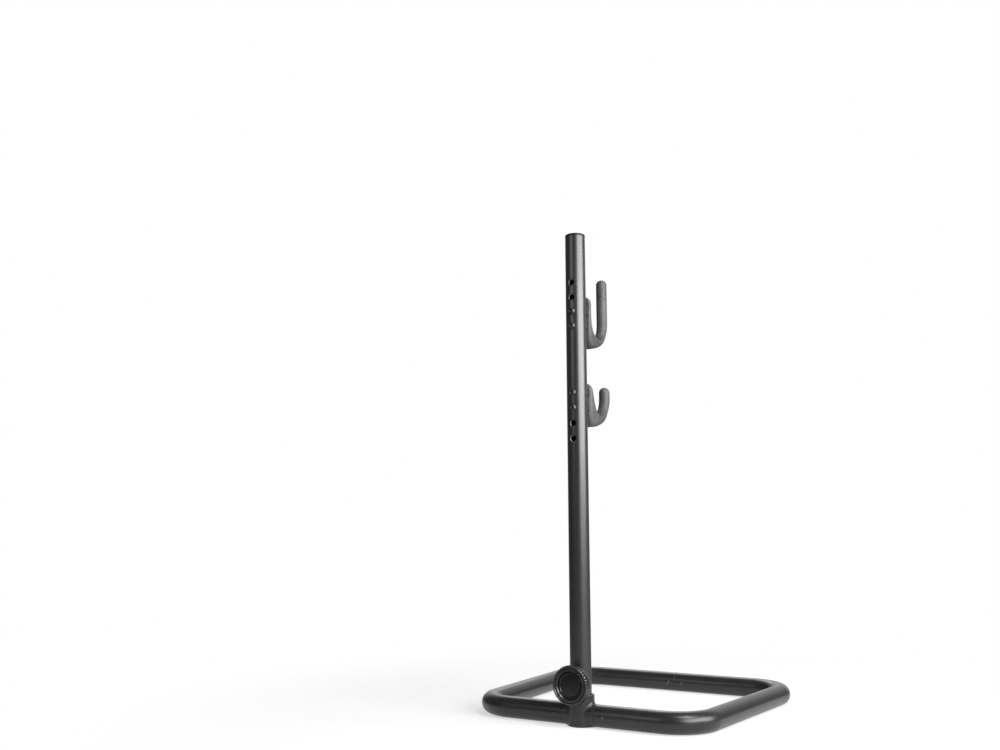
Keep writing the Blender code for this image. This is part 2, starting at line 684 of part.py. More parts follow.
def make_knob():
    """The serrated grip with its stud and face disc, each with its own Z along the knob's axis."""
    outline = knob_outline()
    edge = 1 - KNOB_EDGE / KNOB_RADIUS
    levels = ((0.0, edge), (KNOB_EDGE, 1.0), (KNOB_THICKNESS - KNOB_EDGE, 1.0), (KNOB_THICKNESS, edge))
    rings = [[(x * share, y * share, z) for x, y in outline] for z, share in levels]
    grip = loft("knob_body", rings, KNOB_PLASTIC)
    dish = KNOB_THICKNESS - DISH_DEPTH
    head = dish - GAP - STUD_HEAD_HEIGHT
    face = KNOB_THICKNESS
    dish_tool = rods("knob_dish", DISH_RADIUS, [((0.0, 0.0, dish), (0.0, 0.0, face + OVERCUT))], KNOB_SIDES)
    groove = turned_tube("knob_groove", GROOVE_RADIUS, GROOVE_RADIUS + GROOVE_WIDTH, face - GROOVE_DEPTH,
                         face + OVERCUT, KNOB_SIDES)
    corner = 1 / math.sqrt(3)
    pocket_ends = ((0.0, 0.0, head - GAP), (0.0, 0.0, face))
    pocket = rods("stud_pocket", STUD_HEAD_FLATS * corner + GAP, [pocket_ends], 6)
    bore = rods("stud_bore", STUD_BORE, [((0.0, 0.0, -OVERCUT), (0.0, 0.0, face))], HOLE_SIDES)
    stud_start = STUD_TIP - KNOB_BACK
    stud = turned("clamp_stud", [(0.0, head + GAP), (STUD_RADIUS, head + GAP), (STUD_RADIUS, stud_start),
                                 (0.0, stud_start)], SCREW_SIDES, BARE_STEEL)
    head_ends = ((0.0, 0.0, head), (0.0, 0.0, head + STUD_HEAD_HEIGHT))
    stud_head = rods("stud_head", STUD_HEAD_FLATS * corner, [head_ends], 6)
    disc_low = dish + GAP
    disc_face = disc_low + DISC_THICKNESS
    disc_edge = DISH_RADIUS - GAP
    lip_foot = disc_edge - DISC_LIP_WIDTH
    disc_profile = [(0.0, disc_face), (lip_foot, disc_face), (lip_foot, disc_face + DISC_LIP),
                    (disc_edge, disc_face + DISC_LIP), (disc_edge, disc_low), (0.0, disc_low)]
    disc = turned("knob_disc", disc_profile, KNOB_SIDES, KNOB_PLASTIC)
    cut(grip, dish_tool, groove, pocket, bore)
    join(stud, stud_head)
    for item in (grip, stud, disc, dish_tool, groove, pocket, bore, stud_head):
        item.rotation_euler = (math.pi / 2, 0.0, 0.0)
        item.location = (0.0, -KNOB_BACK, CLAMP_HEIGHT)
    return [grip, stud, disc]


def make_pad():
    chamfer = GAP
    pad = turned("clamp_pad", [(0.0, PAD_FRONT), (PAD_RADIUS, PAD_FRONT), (PAD_RADIUS, PAD_BACK + chamfer),
                               (PAD_RADIUS - chamfer, PAD_BACK), (0.0, PAD_BACK)], SCREW_SIDES, DARK_STEEL)
    pad.rotation_euler = (math.pi / 2, 0.0, 0.0)
    pad.location = (0.0, 0.0, CLAMP_HEIGHT)
    return pad


def carry(name, parts, place, parent=None):
    """An empty on a joint's axis that carries the parts of one moving body."""
    pivot = bpy.data.objects.new(name, None)
    PARTS.objects.link(pivot)
    pivot.location = place if parent is None else Vector(place) - Vector(parent.matrix_world.translation)
    pivot.parent = parent
    bpy.context.view_layer.update()
    for part in parts:
        part.parent = pivot
        part.matrix_parent_inverse = pivot.matrix_world.inverted()
    return pivot


def main():
    base = carry("base_frame", make_base_loop(), (0.0, 0.0, 0.0))
    bush = carry("bush_turn", [make_bush()], (0.0, 0.0, POST_FOOT), base)
    post = carry("post_lift", make_post(), (0.0, 0.0, POST_FOOT), bush)
    pad = carry("pad_travel", [make_pad()], (0.0, -PAD_FRONT, CLAMP_HEIGHT), post)
    carry("knob_turn", make_knob(), (0.0, -KNOB_BACK, CLAMP_HEIGHT), pad)


main()
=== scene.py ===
"""The bike repair stand, dressed: fine surfaces, finishes, a pale floor, soft light and the camera.

Every piece is a surface worked out on a grid. A patch is an array of rows of points, a mask that says how
worn each row is (on the holes' inner lips, partly a painted highlight), and a flag that says whether its
columns close into a ring.
"""

import math

import bmesh
import bpy
import numpy as np
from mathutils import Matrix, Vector


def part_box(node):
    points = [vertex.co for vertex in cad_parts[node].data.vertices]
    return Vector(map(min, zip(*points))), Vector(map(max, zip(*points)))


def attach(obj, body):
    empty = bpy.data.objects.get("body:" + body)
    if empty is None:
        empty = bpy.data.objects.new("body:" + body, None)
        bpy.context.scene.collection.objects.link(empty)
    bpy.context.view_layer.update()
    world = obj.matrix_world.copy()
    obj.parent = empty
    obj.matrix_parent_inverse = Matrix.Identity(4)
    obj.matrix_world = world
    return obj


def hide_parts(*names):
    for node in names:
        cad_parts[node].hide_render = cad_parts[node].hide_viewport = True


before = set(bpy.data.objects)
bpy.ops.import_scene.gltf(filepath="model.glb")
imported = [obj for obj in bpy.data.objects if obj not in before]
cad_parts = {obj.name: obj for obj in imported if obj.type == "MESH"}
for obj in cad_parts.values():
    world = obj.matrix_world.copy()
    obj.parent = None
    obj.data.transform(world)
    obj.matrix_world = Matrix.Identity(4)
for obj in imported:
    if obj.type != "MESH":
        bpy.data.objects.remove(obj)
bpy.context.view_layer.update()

# Sizes of the clearances, the base loop and the post
GAP = 0.0003
SEAM = 0.0001
LOOP_RADIUS = 0.014
LOOP_WALL = 0.002
LOOP_FRONT_HALF = 0.156
LOOP_REAR_HALF = 0.181
LOOP_DEPTH = 0.343
BEND_RADIUS = 0.052
COLLAR_REACH = 0.023
POST_RADIUS = 0.014
POST_WALL = 0.002
HOLE_RADIUS = 0.0042
HOLE_PITCH = 0.0208
UPPER_GROUP_TOP = 0.5902
LOWER_GROUP_TOP = 0.4350
CLAMP_HEIGHT = 0.0533
TUBE_COLUMNS = 112
BEND_ROWS = 45
TUBE_END_WEAR = 0.05
SKIN_ROUND = 0.0004
BORE_ROUND = 0.0003
POST_ROUND = 0.0005
POST_END_SOFTNESS = 0.98
PLAIN_ROW_HEIGHT = 0.02
HOLE_LIP = 0.0007
# The holes' inner lips take the coat's pale worn tone in full: bare metal, and partly a painted highlight
HOLE_LIP_WEAR_AND_GLINT = 3.0
HOLE_LIP_ROWS = 6
HOLE_SKIN_ROWS = 11
WINDOW = math.radians(33)
WINDOW_STEPS = 16
SIDE_COLUMNS = 36

# Sizes of the cap and the bush
CAP_BRIM = 0.0024
CAP_DISH_DEPTH = 0.0004
CAP_DISH_RADIUS = 0.0085
CAP_RIM_RADIUS = 0.0100
CAP_WALL = 0.002
BUSH_OUTSIDE = 0.0152
BUSH_INSIDE = 0.0143
BUSH_ROUND = 0.0003

# Sizes of the cast socket
NECK_RADIUS = 0.0175
NECK_RIM = 0.0010
NECK_RIM_SOFTNESS = 0.95
SOCKET_RADIUS = 0.0155
SOCKET_FLOOR = 0.006
SPIGOT_RADIUS = 0.0117
SPIGOT_TOP = 0.0753
FILLET_RADIUS = 0.005
PLUG_RADIUS = 0.0114
PLUG_LENGTH = 0.027
PLUG_ROUND = 0.0010
COLLAR_START = 0.00045
COLLAR_COLUMNS = 49
NECK_COLUMNS = 25
FILLET_ROWS = 15
UPPER_NECK_ROWS = 14
LOWER_NECK_ROWS = 6

# Distances of the knob's back, the stud's tip and the boss's ends from the post's axis
KNOB_BACK = 0.0206
STUD_TIP = 0.0146
BOSS_FRONT = 0.020
BOSS_BED = 0.016

# Sizes of the knob and its clamp, with heights from the knob's back face
KNOB_RADIUS = 0.0249
KNOB_THICKNESS = 0.0130
KNOB_TEETH = 38
TOOTH_COLUMNS = 16
TOOTH_DEPTH = 0.0014
TOOTH_BEVEL = 0.0016
BEVEL_SLOPE = 0.75
FLAT_SHARE = 0.18
TEETH_START = 0.0005
BACK_RIM = 0.0048
BACK_STEP = 0.0007
BACK_STEP_RIM = 0.0040
DISH_RADIUS = 0.0175
DISH_FLOOR = 0.0094
DISH_FLARE = 0.0010
DISH_FLARE_DEPTH = 0.0014
GROOVE_RADIUS = 0.0198
GROOVE_DEPTH = 0.0013
GROOVE_LIP = 0.0024
GROOVE_OUTSIDE = 0.0013
GROOVE_INSIDE = 0.0005
HUB_RADIUS = 0.0078
HUB_FLOOR = 0.0043
DISC_THICKNESS = 0.0013
DISC_EDGE_DROP = 0.0002
CROWN_RADIUS = 0.0135
CROWN_RISE = 0.0003
CROWN_ROWS = 20
DISC_COLUMNS = 128
RING_RADII = (0.0139, 0.0148, 0.0153, 0.0161)
RING_RISE = 0.0009
STUD_BORE = 0.0043
STUD_BORE_TOP = 0.0046
STUD_RADIUS = 0.004
STUD_ROWS = 150
TIP_BEVEL = 0.0010
TIP_LENGTH = 0.0006
THREAD_PITCH = 0.00125
THREAD_DEPTH = 0.00065
THREAD_FLAT = 0.1
NUT_HALF = 0.0065
NUT_THICKNESS = 0.0045
NUT_BEVEL = 0.0003
NUT_BEVEL_RISE = 0.0002
BOSS_RADIUS = 0.008
BOSS_WEAR = 0.1
KNOB_CENTRE = (0.0, -KNOB_BACK, CLAMP_HEIGHT)

# Sizes of the hooks
PLATE_FRONT = 0.0165
PLATE_THICKNESS = 0.006
PLATE_WIDTH = 0.028
FRONT_DRAW = 0.15
PRONG_RADIUS = 0.00775
SWEEP_RISE = 0.049
TOP_POWER = 0.8
TOP_THINNING = 0.55
TOP_THIN_POWER = 4
TOP_EDGE_POWER = 16
HEEL_POWER = 5
THROAT_ROWS = 61
PRONG_ROWS = 9
PRONG_END_ROWS = 17
PLATE_POWER = 4.0
PRONG_POWER = 2.0
TAPER_START = 0.42
TAPER_RUN = 0.43
SADDLE_WIDTH = 0.0205
SADDLE_HEIGHT = 0.010
SADDLE_ROUND = 0.0004
SADDLE_FACE_ROWS = 8
SADDLE_EDGE_ROWS = 6
SCREW_RADIUS = 0.003
# Angles down the plate's rounded top, finest at its edge
TOP_ANGLES = np.radians(np.concatenate([np.linspace(0.0, 18.0, 13), np.linspace(20.0, 90.0, 29)]))
# Each hook's heights above and below its screws, and its throat
HOOKS = {
    "upper_hook": {"top_screw": 0.5486, "plate_rise": 0.0274, "prong_rise": 0.0669, "heel_drop": 0.0257,
                   "floor_drop": 0.0083, "throat_width": 0.0540, "throat_rise": 0.0325, "squareness": 2.0},
    "lower_hook": {"top_screw": 0.4350, "plate_rise": 0.0175, "prong_rise": 0.0205, "heel_drop": 0.0232,
                   "floor_drop": 0.0042, "throat_width": 0.0578, "throat_rise": 0.0500, "squareness": 1.75},
}

# Sizes of the screws and rivets
HOOK_BOLT = {"head": 0.00525, "dome": 0.003, "shank": SCREW_RADIUS, "length": 0.0356, "key": 0.004,
             "key_depth": 0.0018}
LOOP_SCREW = {"head": 0.0029, "dome": 0.0012, "shank": 0.0020, "length": 0.009, "key": 0.0020,
              "key_depth": 0.0008}
LOOP_SCREW_REACH = 0.012
SEAM_RIVET = {"head": 0.0036, "dome": 0.0013, "shank": 0.0022, "length": 0.0046}
SEAM_RIVET_REACH = 0.011
RIVET_BRIM = 0.99
RIVET_EDGE = 0.02
RIVET_WEAR = 0.3
RIVET_ROWS = 12

# Shares of a screw's head, dome, key and shank
HEAD_BRIM = 0.985
UNDER_HEAD = 0.97
BRIM_HEIGHT = 0.05
KEY_LIP = 0.06
KEY_LIP_DROP = 0.7
DRILL_RING = 0.6
DRILL_DEPTH = 0.1
SHANK_ROUND = 0.3
DOME_WEAR = 0.25
BRIM_WEAR = 0.8
DOME_ROWS = 14

FRONT_AXIS = (0.0, -1.0, 0.0)
UP_AXIS = (0.0, 0.0, 1.0)
ORIGIN = (0.0, 0.0, 0.0)
MERGE = 0.000002
LEAD = 0.3
TINY = 1e-9
ROUND_COLUMNS = 96
SMALL_COLUMNS = 48


# Grids and profiles

def full_circle(count):
    return np.linspace(0.0, 2 * math.pi, count, endpoint=False)


def eased(share):
    """A share from 0 to 1 with level ends: three squares less two cubes."""
    share = np.clip(share, 0.0, 1.0)
    return share * share * (3 - 2 * share)


def grid_faces(rows, columns, ring):
    """Corner numbers of a grid's faces: each point, its right neighbour, and the two below them."""
    across = columns if ring else columns - 1
    row, column = np.meshgrid(np.arange(rows - 1), np.arange(across), indexing="ij")
    right = (column + 1) % columns
    corners = (row * columns + column, row * columns + right, (row + 1) * columns + right,
               (row + 1) * columns + column)
    return np.stack(corners, axis=-1).reshape(-1, 4)


def make_piece(name, patches, finish, slot, body, *nodes, sharp=50):
    """One object from its patches, with shared borders merged, that stands for CAD nodes on a body."""
    points, edges, faces, count = [], [], [], 0
    for grid, edge, ring in patches:
        rows, columns = grid.shape[:2]
        points.append(grid.reshape(-1, 3))
        edges.append(np.broadcast_to(np.reshape(edge, (-1, 1)), (rows, columns)).reshape(-1))
        faces.append(grid_faces(rows, columns, ring) + count)
        count += rows * columns
    mesh = bpy.data.meshes.new(name)
    mesh.from_pydata(np.concatenate(points).tolist(), [], np.concatenate(faces).tolist())
    mask = mesh.attributes.new("edge", "FLOAT", "POINT")
    mask.data.foreach_set("value", np.concatenate(edges).astype(np.float32))
    shape = bmesh.new()
    shape.from_mesh(mesh)
    bmesh.ops.remove_doubles(shape, verts=shape.verts, dist=MERGE)
    bmesh.ops.recalc_face_normals(shape, faces=shape.faces)
    shape.to_mesh(mesh)
    shape.free()
    mesh.shade_smooth()
    mesh.set_sharp_from_angle(angle=math.radians(sharp))
    mesh.materials.append(finish)
    piece = bpy.data.objects.new(name, mesh)
    bpy.context.scene.collection.objects.link(piece)
    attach(piece, body)
    if nodes:
        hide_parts(*nodes)


def unit(vector):
    return vector / np.linalg.norm(vector)


def profile(corners, steps=6, closed=False):
    """Rows of radius, height and edge mask. A corner is radius, height and rounding.

    A rounding is the arc that touches both sides of its corner: from one touching point to the other,
    turned evenly round the centre on the corner's bisector. A row stands just before and after each arc,
    a lead of the rounding away, so that flat runs stay flat. The mask is half at an arc's ends, and rises
    as a sine to 1 in its middle.
    """
    places = np.array([corner[:2] for corner in corners], float)
    rows = []
    for i, (radius, height, rounding) in enumerate(corners):
        here = places[i]
        inside = closed or 0 < i < len(corners) - 1
        if not rounding or not inside:
            rows.append([[radius, height, 0.0]])
            continue
        back = unit(places[i - 1] - here)
        ahead = unit(places[(i + 1) % len(corners)] - here)
        half = math.acos(np.clip(back @ ahead, -1.0, 1.0)) / 2
        centre = here + unit(back + ahead) * rounding / math.sin(half)
        start = here + back * rounding / math.tan(half) - centre
        end = here + ahead * rounding / math.tan(half) - centre
        turn = math.pi - 2 * half
        share = np.linspace(0.0, 1.0, steps + 1)[:, None]
        arc = centre + (np.sin((1 - share) * turn) * start + np.sin(share * turn) * end) / math.sin(turn)
        arc = np.hstack([arc, np.sin(math.pi * share) * 0.5 + 0.5])
        lead = np.append(arc[0, :2] + back * rounding * LEAD, 0.0)
        trail = np.append(arc[-1, :2] + ahead * rounding * LEAD, 0.0)
        rows += [[lead], arc, [trail]]
    rows = np.vstack(rows)
    return np.vstack([rows, rows[:1]]) if closed else rows


def turned(rows, origin, along, columns, grow=0.0):
    """A profile carried round an axis: height along the axis, and radius plus any growth across it."""
    along = np.array(along, float)
    first = np.array((1.0, 0.0, 0.0))
    second = np.cross(along, first)
    ring = np.cos(columns)[:, None] * first + np.sin(columns)[:, None] * second
    radius = rows[:, 0, None] + grow
    return np.array(origin) + rows[:, 1, None, None] * along + radius[..., None] * ring


def turned_patch(rows, origin, along, columns=ROUND_COLUMNS):
    return (turned(rows, origin, along, full_circle(columns)), rows[:, 2], True)


# Finishes

BLACK = (0.0, 0.0, 0.0, 1.0)
WHITE = (1.0, 1.0, 1.0, 1.0)
BROAD_SCALE = 20.0
TONE_BAND = (0.3, 0.7)
LUMP_BAND = (0.25, 0.75)
WEAR_SCALE = 260.0
WEAR_BAND = (0.42, 0.66)
WEAR_POLISH = 0.18
DUST_TONE = (0.30, 0.29, 0.27, 1.0)
DUST_SCALE = 70.0
DUST_BAND = (0.35, 0.75)
DUST_DULLING = 0.5
LEVEL_BAND = (0.35, 1.0)


def new_group(name, inputs, outputs):
    """An empty node group with named inputs and first values, the sockets they give, and its output node."""
    group = bpy.data.node_groups.new(name, "ShaderNodeTree")
    for label, value in inputs.items():
        kind = "NodeSocketColor" if isinstance(value, tuple) else "NodeSocketFloat"
        group.interface.new_socket(label, in_out="INPUT", socket_type=kind).default_value = value
    for label in outputs:
        kind = "NodeSocketColor" if label == "Color" else "NodeSocketFloat"
        group.interface.new_socket(label, in_out="OUTPUT", socket_type=kind)
    return group, group.nodes.new("NodeGroupInput").outputs, group.nodes.new("NodeGroupOutput")


def put_out(group, outside, **results):
    """A group's results, linked to its named outputs."""
    for label, socket in results.items():
        group.links.new(socket, outside.inputs[label])


def feed(tree, slot, value):
    """What a socket takes in: a link from another socket, or a plain value."""
    if isinstance(value, bpy.types.NodeSocket):
        tree.links.new(value, slot)
    else:
        slot.default_value = value


def add_node(tree, kind, inputs=None, **settings):
    """A node with its settings, and with what its sockets take in."""
    node = tree.nodes.new(kind)
    for key, value in settings.items():
        setattr(node, key, value)
    for key, value in (inputs or {}).items():
        feed(tree, node.inputs[key], value)
    return node


def noise(tree, scale, detail=2.0, rough=0.5):
    """A noise of the object's own coordinates, from 0 to 1."""
    where = add_node(tree, "ShaderNodeTexCoord")
    node = add_node(tree, "ShaderNodeTexNoise", {"Vector": where.outputs["Object"], "Scale": scale,
                                                 "Detail": detail, "Roughness": rough})
    return node.outputs["Fac"]


def math_node(tree, operation, *values):
    """One sum of two or three values, each a number or a socket, held from 0 to 1."""
    node = add_node(tree, "ShaderNodeMath", dict(enumerate(values)), operation=operation, use_clamp=True)
    return node.outputs["Value"]


def span(tree, value, band, ends="LINEAR"):
    """A value stretched so that a band's low end becomes 0 and its high end 1, straight or eased."""
    node = add_node(tree, "ShaderNodeMapRange", {"Value": value, "From Min": band[0], "From Max": band[1]},
                    interpolation_type=ends)
    return node.outputs["Result"]


def blend(tree, share, first, second):
    """A mix of two colours by a share."""
    node = add_node(tree, "ShaderNodeMix", {"Factor": share}, data_type="RGBA")
    for slot, value in zip([item for item in node.inputs if item.type == "RGBA"], (first, second)):
        feed(tree, slot, value)
    return [item for item in node.outputs if item.type == "RGBA"][0]


def make_mottle():
    """Uneven tone and gloss: a broad and a fine noise, half each, shift the colour and the roughness."""
    group, inside, outside = new_group(
        "uneven_tone", {"Dark": BLACK, "Light": WHITE, "Smooth": 0.3, "Rough": 0.5, "Fine": 900.0},
        ("Color", "Roughness"))
    broad = span(group, noise(group, BROAD_SCALE, detail=4.0, rough=0.6), TONE_BAND)
    fine = span(group, noise(group, inside["Fine"]), TONE_BAND)
    share = math_node(group, "MULTIPLY_ADD", fine, 0.5, math_node(group, "MULTIPLY", broad, 0.5))
    spread = math_node(group, "SUBTRACT", inside["Rough"], inside["Smooth"])
    put_out(group, outside, Color=blend(group, share, inside["Dark"], inside["Light"]),
            Roughness=math_node(group, "MULTIPLY_ADD", share, spread, inside["Smooth"]))
    return group


def make_grain():
    """Fine grain: round cells and a noise of the same scale, mixed into one height by the pebble share."""
    group, inside, outside = new_group("fine_grain", {"Scale": 900.0, "Pebble": 0.5}, ("Height",))
    where = add_node(group, "ShaderNodeTexCoord")
    cells = add_node(group, "ShaderNodeTexVoronoi",
                     {"Vector": where.outputs["Object"], "Scale": inside["Scale"], "Randomness": 1.0},
                     feature="SMOOTH_F1")
    lumps = span(group, noise(group, inside["Scale"], detail=3.0, rough=0.6), LUMP_BAND)
    bumps = math_node(group, "SUBTRACT", 1.0, cells.outputs["Distance"])
    pebbled = math_node(group, "MULTIPLY", bumps, inside["Pebble"])
    smooth = math_node(group, "SUBTRACT", 1.0, inside["Pebble"])
    put_out(group, outside, Height=math_node(group, "MULTIPLY_ADD", lumps, smooth, pebbled))
    return group


def make_wear():
    """Wear on the edges that the surface marks, broken up by a noise: a tone of its own, and smoother."""
    group, inside, outside = new_group(
        "edge_wear", {"Color": BLACK, "Worn": WHITE, "Roughness": 0.4, "Amount": 0.5}, ("Color", "Roughness"))
    # The mask also paints the holes' inner lips pale, partly as a painted highlight
    edge = add_node(group, "ShaderNodeAttribute", attribute_name="edge")
    patchy = span(group, noise(group, WEAR_SCALE, detail=5.0, rough=0.65), WEAR_BAND)
    mask = math_node(group, "MULTIPLY", edge.outputs["Fac"], patchy)
    mask = math_node(group, "MULTIPLY", mask, inside["Amount"])
    polish = math_node(group, "MULTIPLY", mask, WEAR_POLISH)
    put_out(group, outside, Color=blend(group, mask, inside["Color"], inside["Worn"]),
            Roughness=math_node(group, "SUBTRACT", inside["Roughness"], polish))
    return group


def make_dust():
    """Dust that settles in patches on surfaces that face up, pale and dull."""
    group, inside, outside = new_group(
        "settled_dust", {"Color": BLACK, "Roughness": 0.4, "Amount": 0.2}, ("Color", "Roughness"))
    facing = add_node(group, "ShaderNodeNewGeometry")
    upward = add_node(group, "ShaderNodeSeparateXYZ", {"Vector": facing.outputs["Normal"]})
    level = span(group, upward.outputs["Z"], LEVEL_BAND)
    patchy = span(group, noise(group, DUST_SCALE, detail=6.0, rough=0.7), DUST_BAND)
    mask = math_node(group, "MULTIPLY", level, patchy)
    mask = math_node(group, "MULTIPLY", mask, inside["Amount"])
    put_out(group, outside, Color=blend(group, mask, inside["Color"], DUST_TONE),
            Roughness=math_node(group, "MULTIPLY_ADD", mask, DUST_DULLING, inside["Roughness"]))
    return group


UNEVEN_TONE = make_mottle()
FINE_GRAIN = make_grain()
EDGE_WEAR = make_wear()
SETTLED_DUST = make_dust()


def place_group(tree, group, inputs):
    return add_node(tree, "ShaderNodeGroup", inputs, node_tree=group)


def grey(level, blue):
    return (level, level, blue, 1.0)


def make_finish(name, dark, light, rough, grain, worn, wear, dust=0.0, metallic=0.0, specular=0.5,
                fine=900.0):
    """One finish: uneven tone, then wear on edges, then dust, over a grain that raises the surface.

    A tone is a grey level and its blue. Rough holds the least and the most roughness, and grain the scale
    of the cells, their share against the noise, and their height.
    """
    scale, pebble, relief = grain
    material = bpy.data.materials.new(name)
    material.use_nodes = True
    tree = material.node_tree
    shader = tree.nodes["Principled BSDF"]
    shader.inputs["Metallic"].default_value = metallic
    shader.inputs["Specular IOR Level"].default_value = specular
    tone = place_group(tree, UNEVEN_TONE, {"Dark": grey(*dark), "Light": grey(*light), "Smooth": rough[0],
                                           "Rough": rough[1], "Fine": fine})
    edges = place_group(tree, EDGE_WEAR, {"Color": tone.outputs["Color"], "Worn": grey(*worn), "Amount": wear,
                                          "Roughness": tone.outputs["Roughness"]})
    settled = place_group(tree, SETTLED_DUST, {"Color": edges.outputs["Color"], "Amount": dust,
                                               "Roughness": edges.outputs["Roughness"]})
    surface = place_group(tree, FINE_GRAIN, {"Scale": scale, "Pebble": pebble})
    raised = add_node(tree, "ShaderNodeBump", {"Strength": 1.0, "Distance": relief,
                                               "Height": surface.outputs["Height"]})
    tree.links.new(settled.outputs["Color"], shader.inputs["Base Color"])
    tree.links.new(settled.outputs["Roughness"], shader.inputs["Roughness"])
    tree.links.new(raised.outputs["Normal"], shader.inputs["Normal"])
    return material


# The pale worn tone marks worn edges, and on the holes' inner lips it also stands in part for a painted
# highlight
POWDER_COAT = make_finish("powder_coat", (0.010, 0.011), (0.018, 0.019), rough=(0.30, 0.38),
                          grain=(1500.0, 0.2, 0.00003), worn=(0.50, 0.51), wear=0.8, dust=0.02, specular=0.9)
# The loop's coat is the post's powder coat made darker and less reflective: painted shade on the base loop
SHADED_LOOP_COAT = make_finish("shaded_loop_coat", (0.008, 0.009), (0.014, 0.015), rough=(0.28, 0.36),
                        grain=(1500.0, 0.2, 0.00003), worn=(0.50, 0.51), wear=0.8, dust=0.02)
CAST_PAINT = make_finish("cast_paint", (0.010, 0.011), (0.019, 0.020), rough=(0.30, 0.40),
                         grain=(800.0, 0.25, 0.00006), worn=(0.06, 0.065), wear=0.5, dust=0.02, specular=0.45)
KNOB_PLASTIC = make_finish("knob_plastic", (0.004, 0.0045), (0.009, 0.010), rough=(0.26, 0.34),
                           grain=(2200.0, 0.5, 0.00001), worn=(0.05, 0.052), wear=0.3, dust=0.02,
                           specular=0.7)
# The face disc is the knob's plastic made darker and less reflective: painted shade in the knob's recessed
# face
SHADED_KNOB_FACE = make_finish("knob_face", (0.002, 0.0025), (0.005, 0.0055), rough=(0.24, 0.32),
                        grain=(2200.0, 0.5, 0.00001), worn=(0.03, 0.032), wear=0.2, dust=0.01, specular=0.35)
CAP_PLASTIC = make_finish("cap_plastic", (0.006, 0.007), (0.012, 0.013), rough=(0.46, 0.56),
                          grain=(1600.0, 0.2, 0.00001), worn=(0.05, 0.052), wear=0.3, dust=0.02,
                          specular=0.25)
HOOK_RUBBER = make_finish("hook_rubber", (0.008, 0.009), (0.100, 0.104), rough=(0.53, 0.65),
                          grain=(480.0, 0.7, 0.0005), worn=(0.16, 0.16), wear=0.5, dust=0.02, specular=0.75,
                          fine=400.0)
ZINC_STEEL = make_finish("zinc_steel", (0.46, 0.48), (0.60, 0.61), rough=(0.24, 0.38),
                         grain=(1400.0, 0.1, 0.00002), worn=(0.72, 0.72), wear=0.6, metallic=1.0)
BLACK_STEEL = make_finish("black_steel", (0.045, 0.048), (0.080, 0.084), rough=(0.36, 0.48),
                          grain=(2000.0, 0.2, 0.00001), worn=(0.20, 0.21), wear=0.5, metallic=0.9)
BUSH_NYLON = make_finish("bush_nylon", (0.014, 0.014), (0.024, 0.024), rough=(0.42, 0.55),
                         grain=(1200.0, 0.2, 0.00002), worn=(0.08, 0.08), wear=0.4)


# Base loop

def loop_route(along):
    """Places and headings on the right half of the loop, by arc length from its front end.

    The heading stays level on straight runs and grows evenly round each bend. The place is its integral,
    run by run: a straight step, or the bend radius times the change of the heading's sine and cosine.
    Without arc lengths, it gives those at which the runs start.
    """
    front = COLLAR_REACH + GAP
    slant = math.atan2(LOOP_DEPTH, LOOP_REAR_HALF - LOOP_FRONT_HALF)
    turns = (slant, math.pi - slant)
    trim = [BEND_RADIUS * math.tan(turn / 2) for turn in turns]
    side = math.hypot(LOOP_DEPTH, LOOP_REAR_HALF - LOOP_FRONT_HALF)
    runs = np.array([LOOP_FRONT_HALF - front - trim[0], BEND_RADIUS * turns[0], side - sum(trim),
                     BEND_RADIUS * turns[1], LOOP_REAR_HALF - trim[1] - SEAM / 2])
    starts = np.concatenate([[0.0], np.cumsum(runs)])
    headings = np.array([0.0, 0.0, slant, slant, math.pi, math.pi])
    if along is None:
        return starts
    heading = np.interp(along, starts, headings)
    corners = [np.array((front, 0.0))]
    for i, run in enumerate(runs):
        corners.append(corners[-1] + run_step(run, headings[i], headings[i + 1]))
    number = np.clip(np.searchsorted(starts, along, side="right") - 1, 0, len(runs) - 1)
    step = run_step(along - starts[number], headings[number], heading)
    return np.array(corners)[number] + step, heading


def run_step(length, before, after):
    """How far a run goes: straight ahead, or round a bend where its heading changes."""
    straight = np.stack([length * np.cos(before), length * np.sin(before)], axis=-1)
    bent = BEND_RADIUS * np.stack([np.sin(after) - np.sin(before), np.cos(before) - np.cos(after)], axis=-1)
    return np.where(np.abs(np.asarray(after) - before)[..., None] > TINY, bent, straight)


def base_tube(side):
    """The tube's wall: a closed path of arc length and radius, out along its skin and back along its bore."""
    starts = loop_route(None)
    bends = [np.linspace(starts[k], starts[k + 1], BEND_ROWS) for k in (1, 3)]
    middle = np.concatenate([bends[0], bends[1]])
    skin = np.stack([np.full(middle.size, LOOP_RADIUS), middle, np.zeros(middle.size)], axis=1)
    inner = LOOP_RADIUS - LOOP_WALL
    bore = skin[::-1] * (0.0, 1.0, 1.0) + (inner, 0.0, 0.0)
    far = profile([(LOOP_RADIUS, starts[3], 0.0), (LOOP_RADIUS, starts[-1], SKIN_ROUND),
                   (inner, starts[-1], BORE_ROUND), (inner, starts[3], 0.0)])[1:-1]
    near = profile([(inner, starts[2], 0.0), (inner, 0.0, BORE_ROUND), (LOOP_RADIUS, 0.0, SKIN_ROUND),
                    (LOOP_RADIUS, starts[2], 0.0)])[1:-1]
    rows = np.vstack([skin, far, bore, near, skin[:1]])
    place, heading = loop_route(rows[:, 1])
    around = full_circle(TUBE_COLUMNS)
    sideways = rows[:, 0, None] * np.cos(around)
    grid = np.stack([side * (place[:, 0, None] - np.sin(heading)[:, None] * sideways),
                     place[:, 1, None] + np.cos(heading)[:, None] * sideways,
                     LOOP_RADIUS + rows[:, 0, None] * np.sin(around)], axis=-1)
    return [(grid, rows[:, 2] * TUBE_END_WEAR, True)]


# Post

def on_post(radius, angle, height):
    """A point on a cylinder round the post's axis, by its angle from the front towards +X."""
    return np.stack(np.broadcast_arrays(radius * np.sin(angle), -radius * np.cos(angle), height), axis=-1)


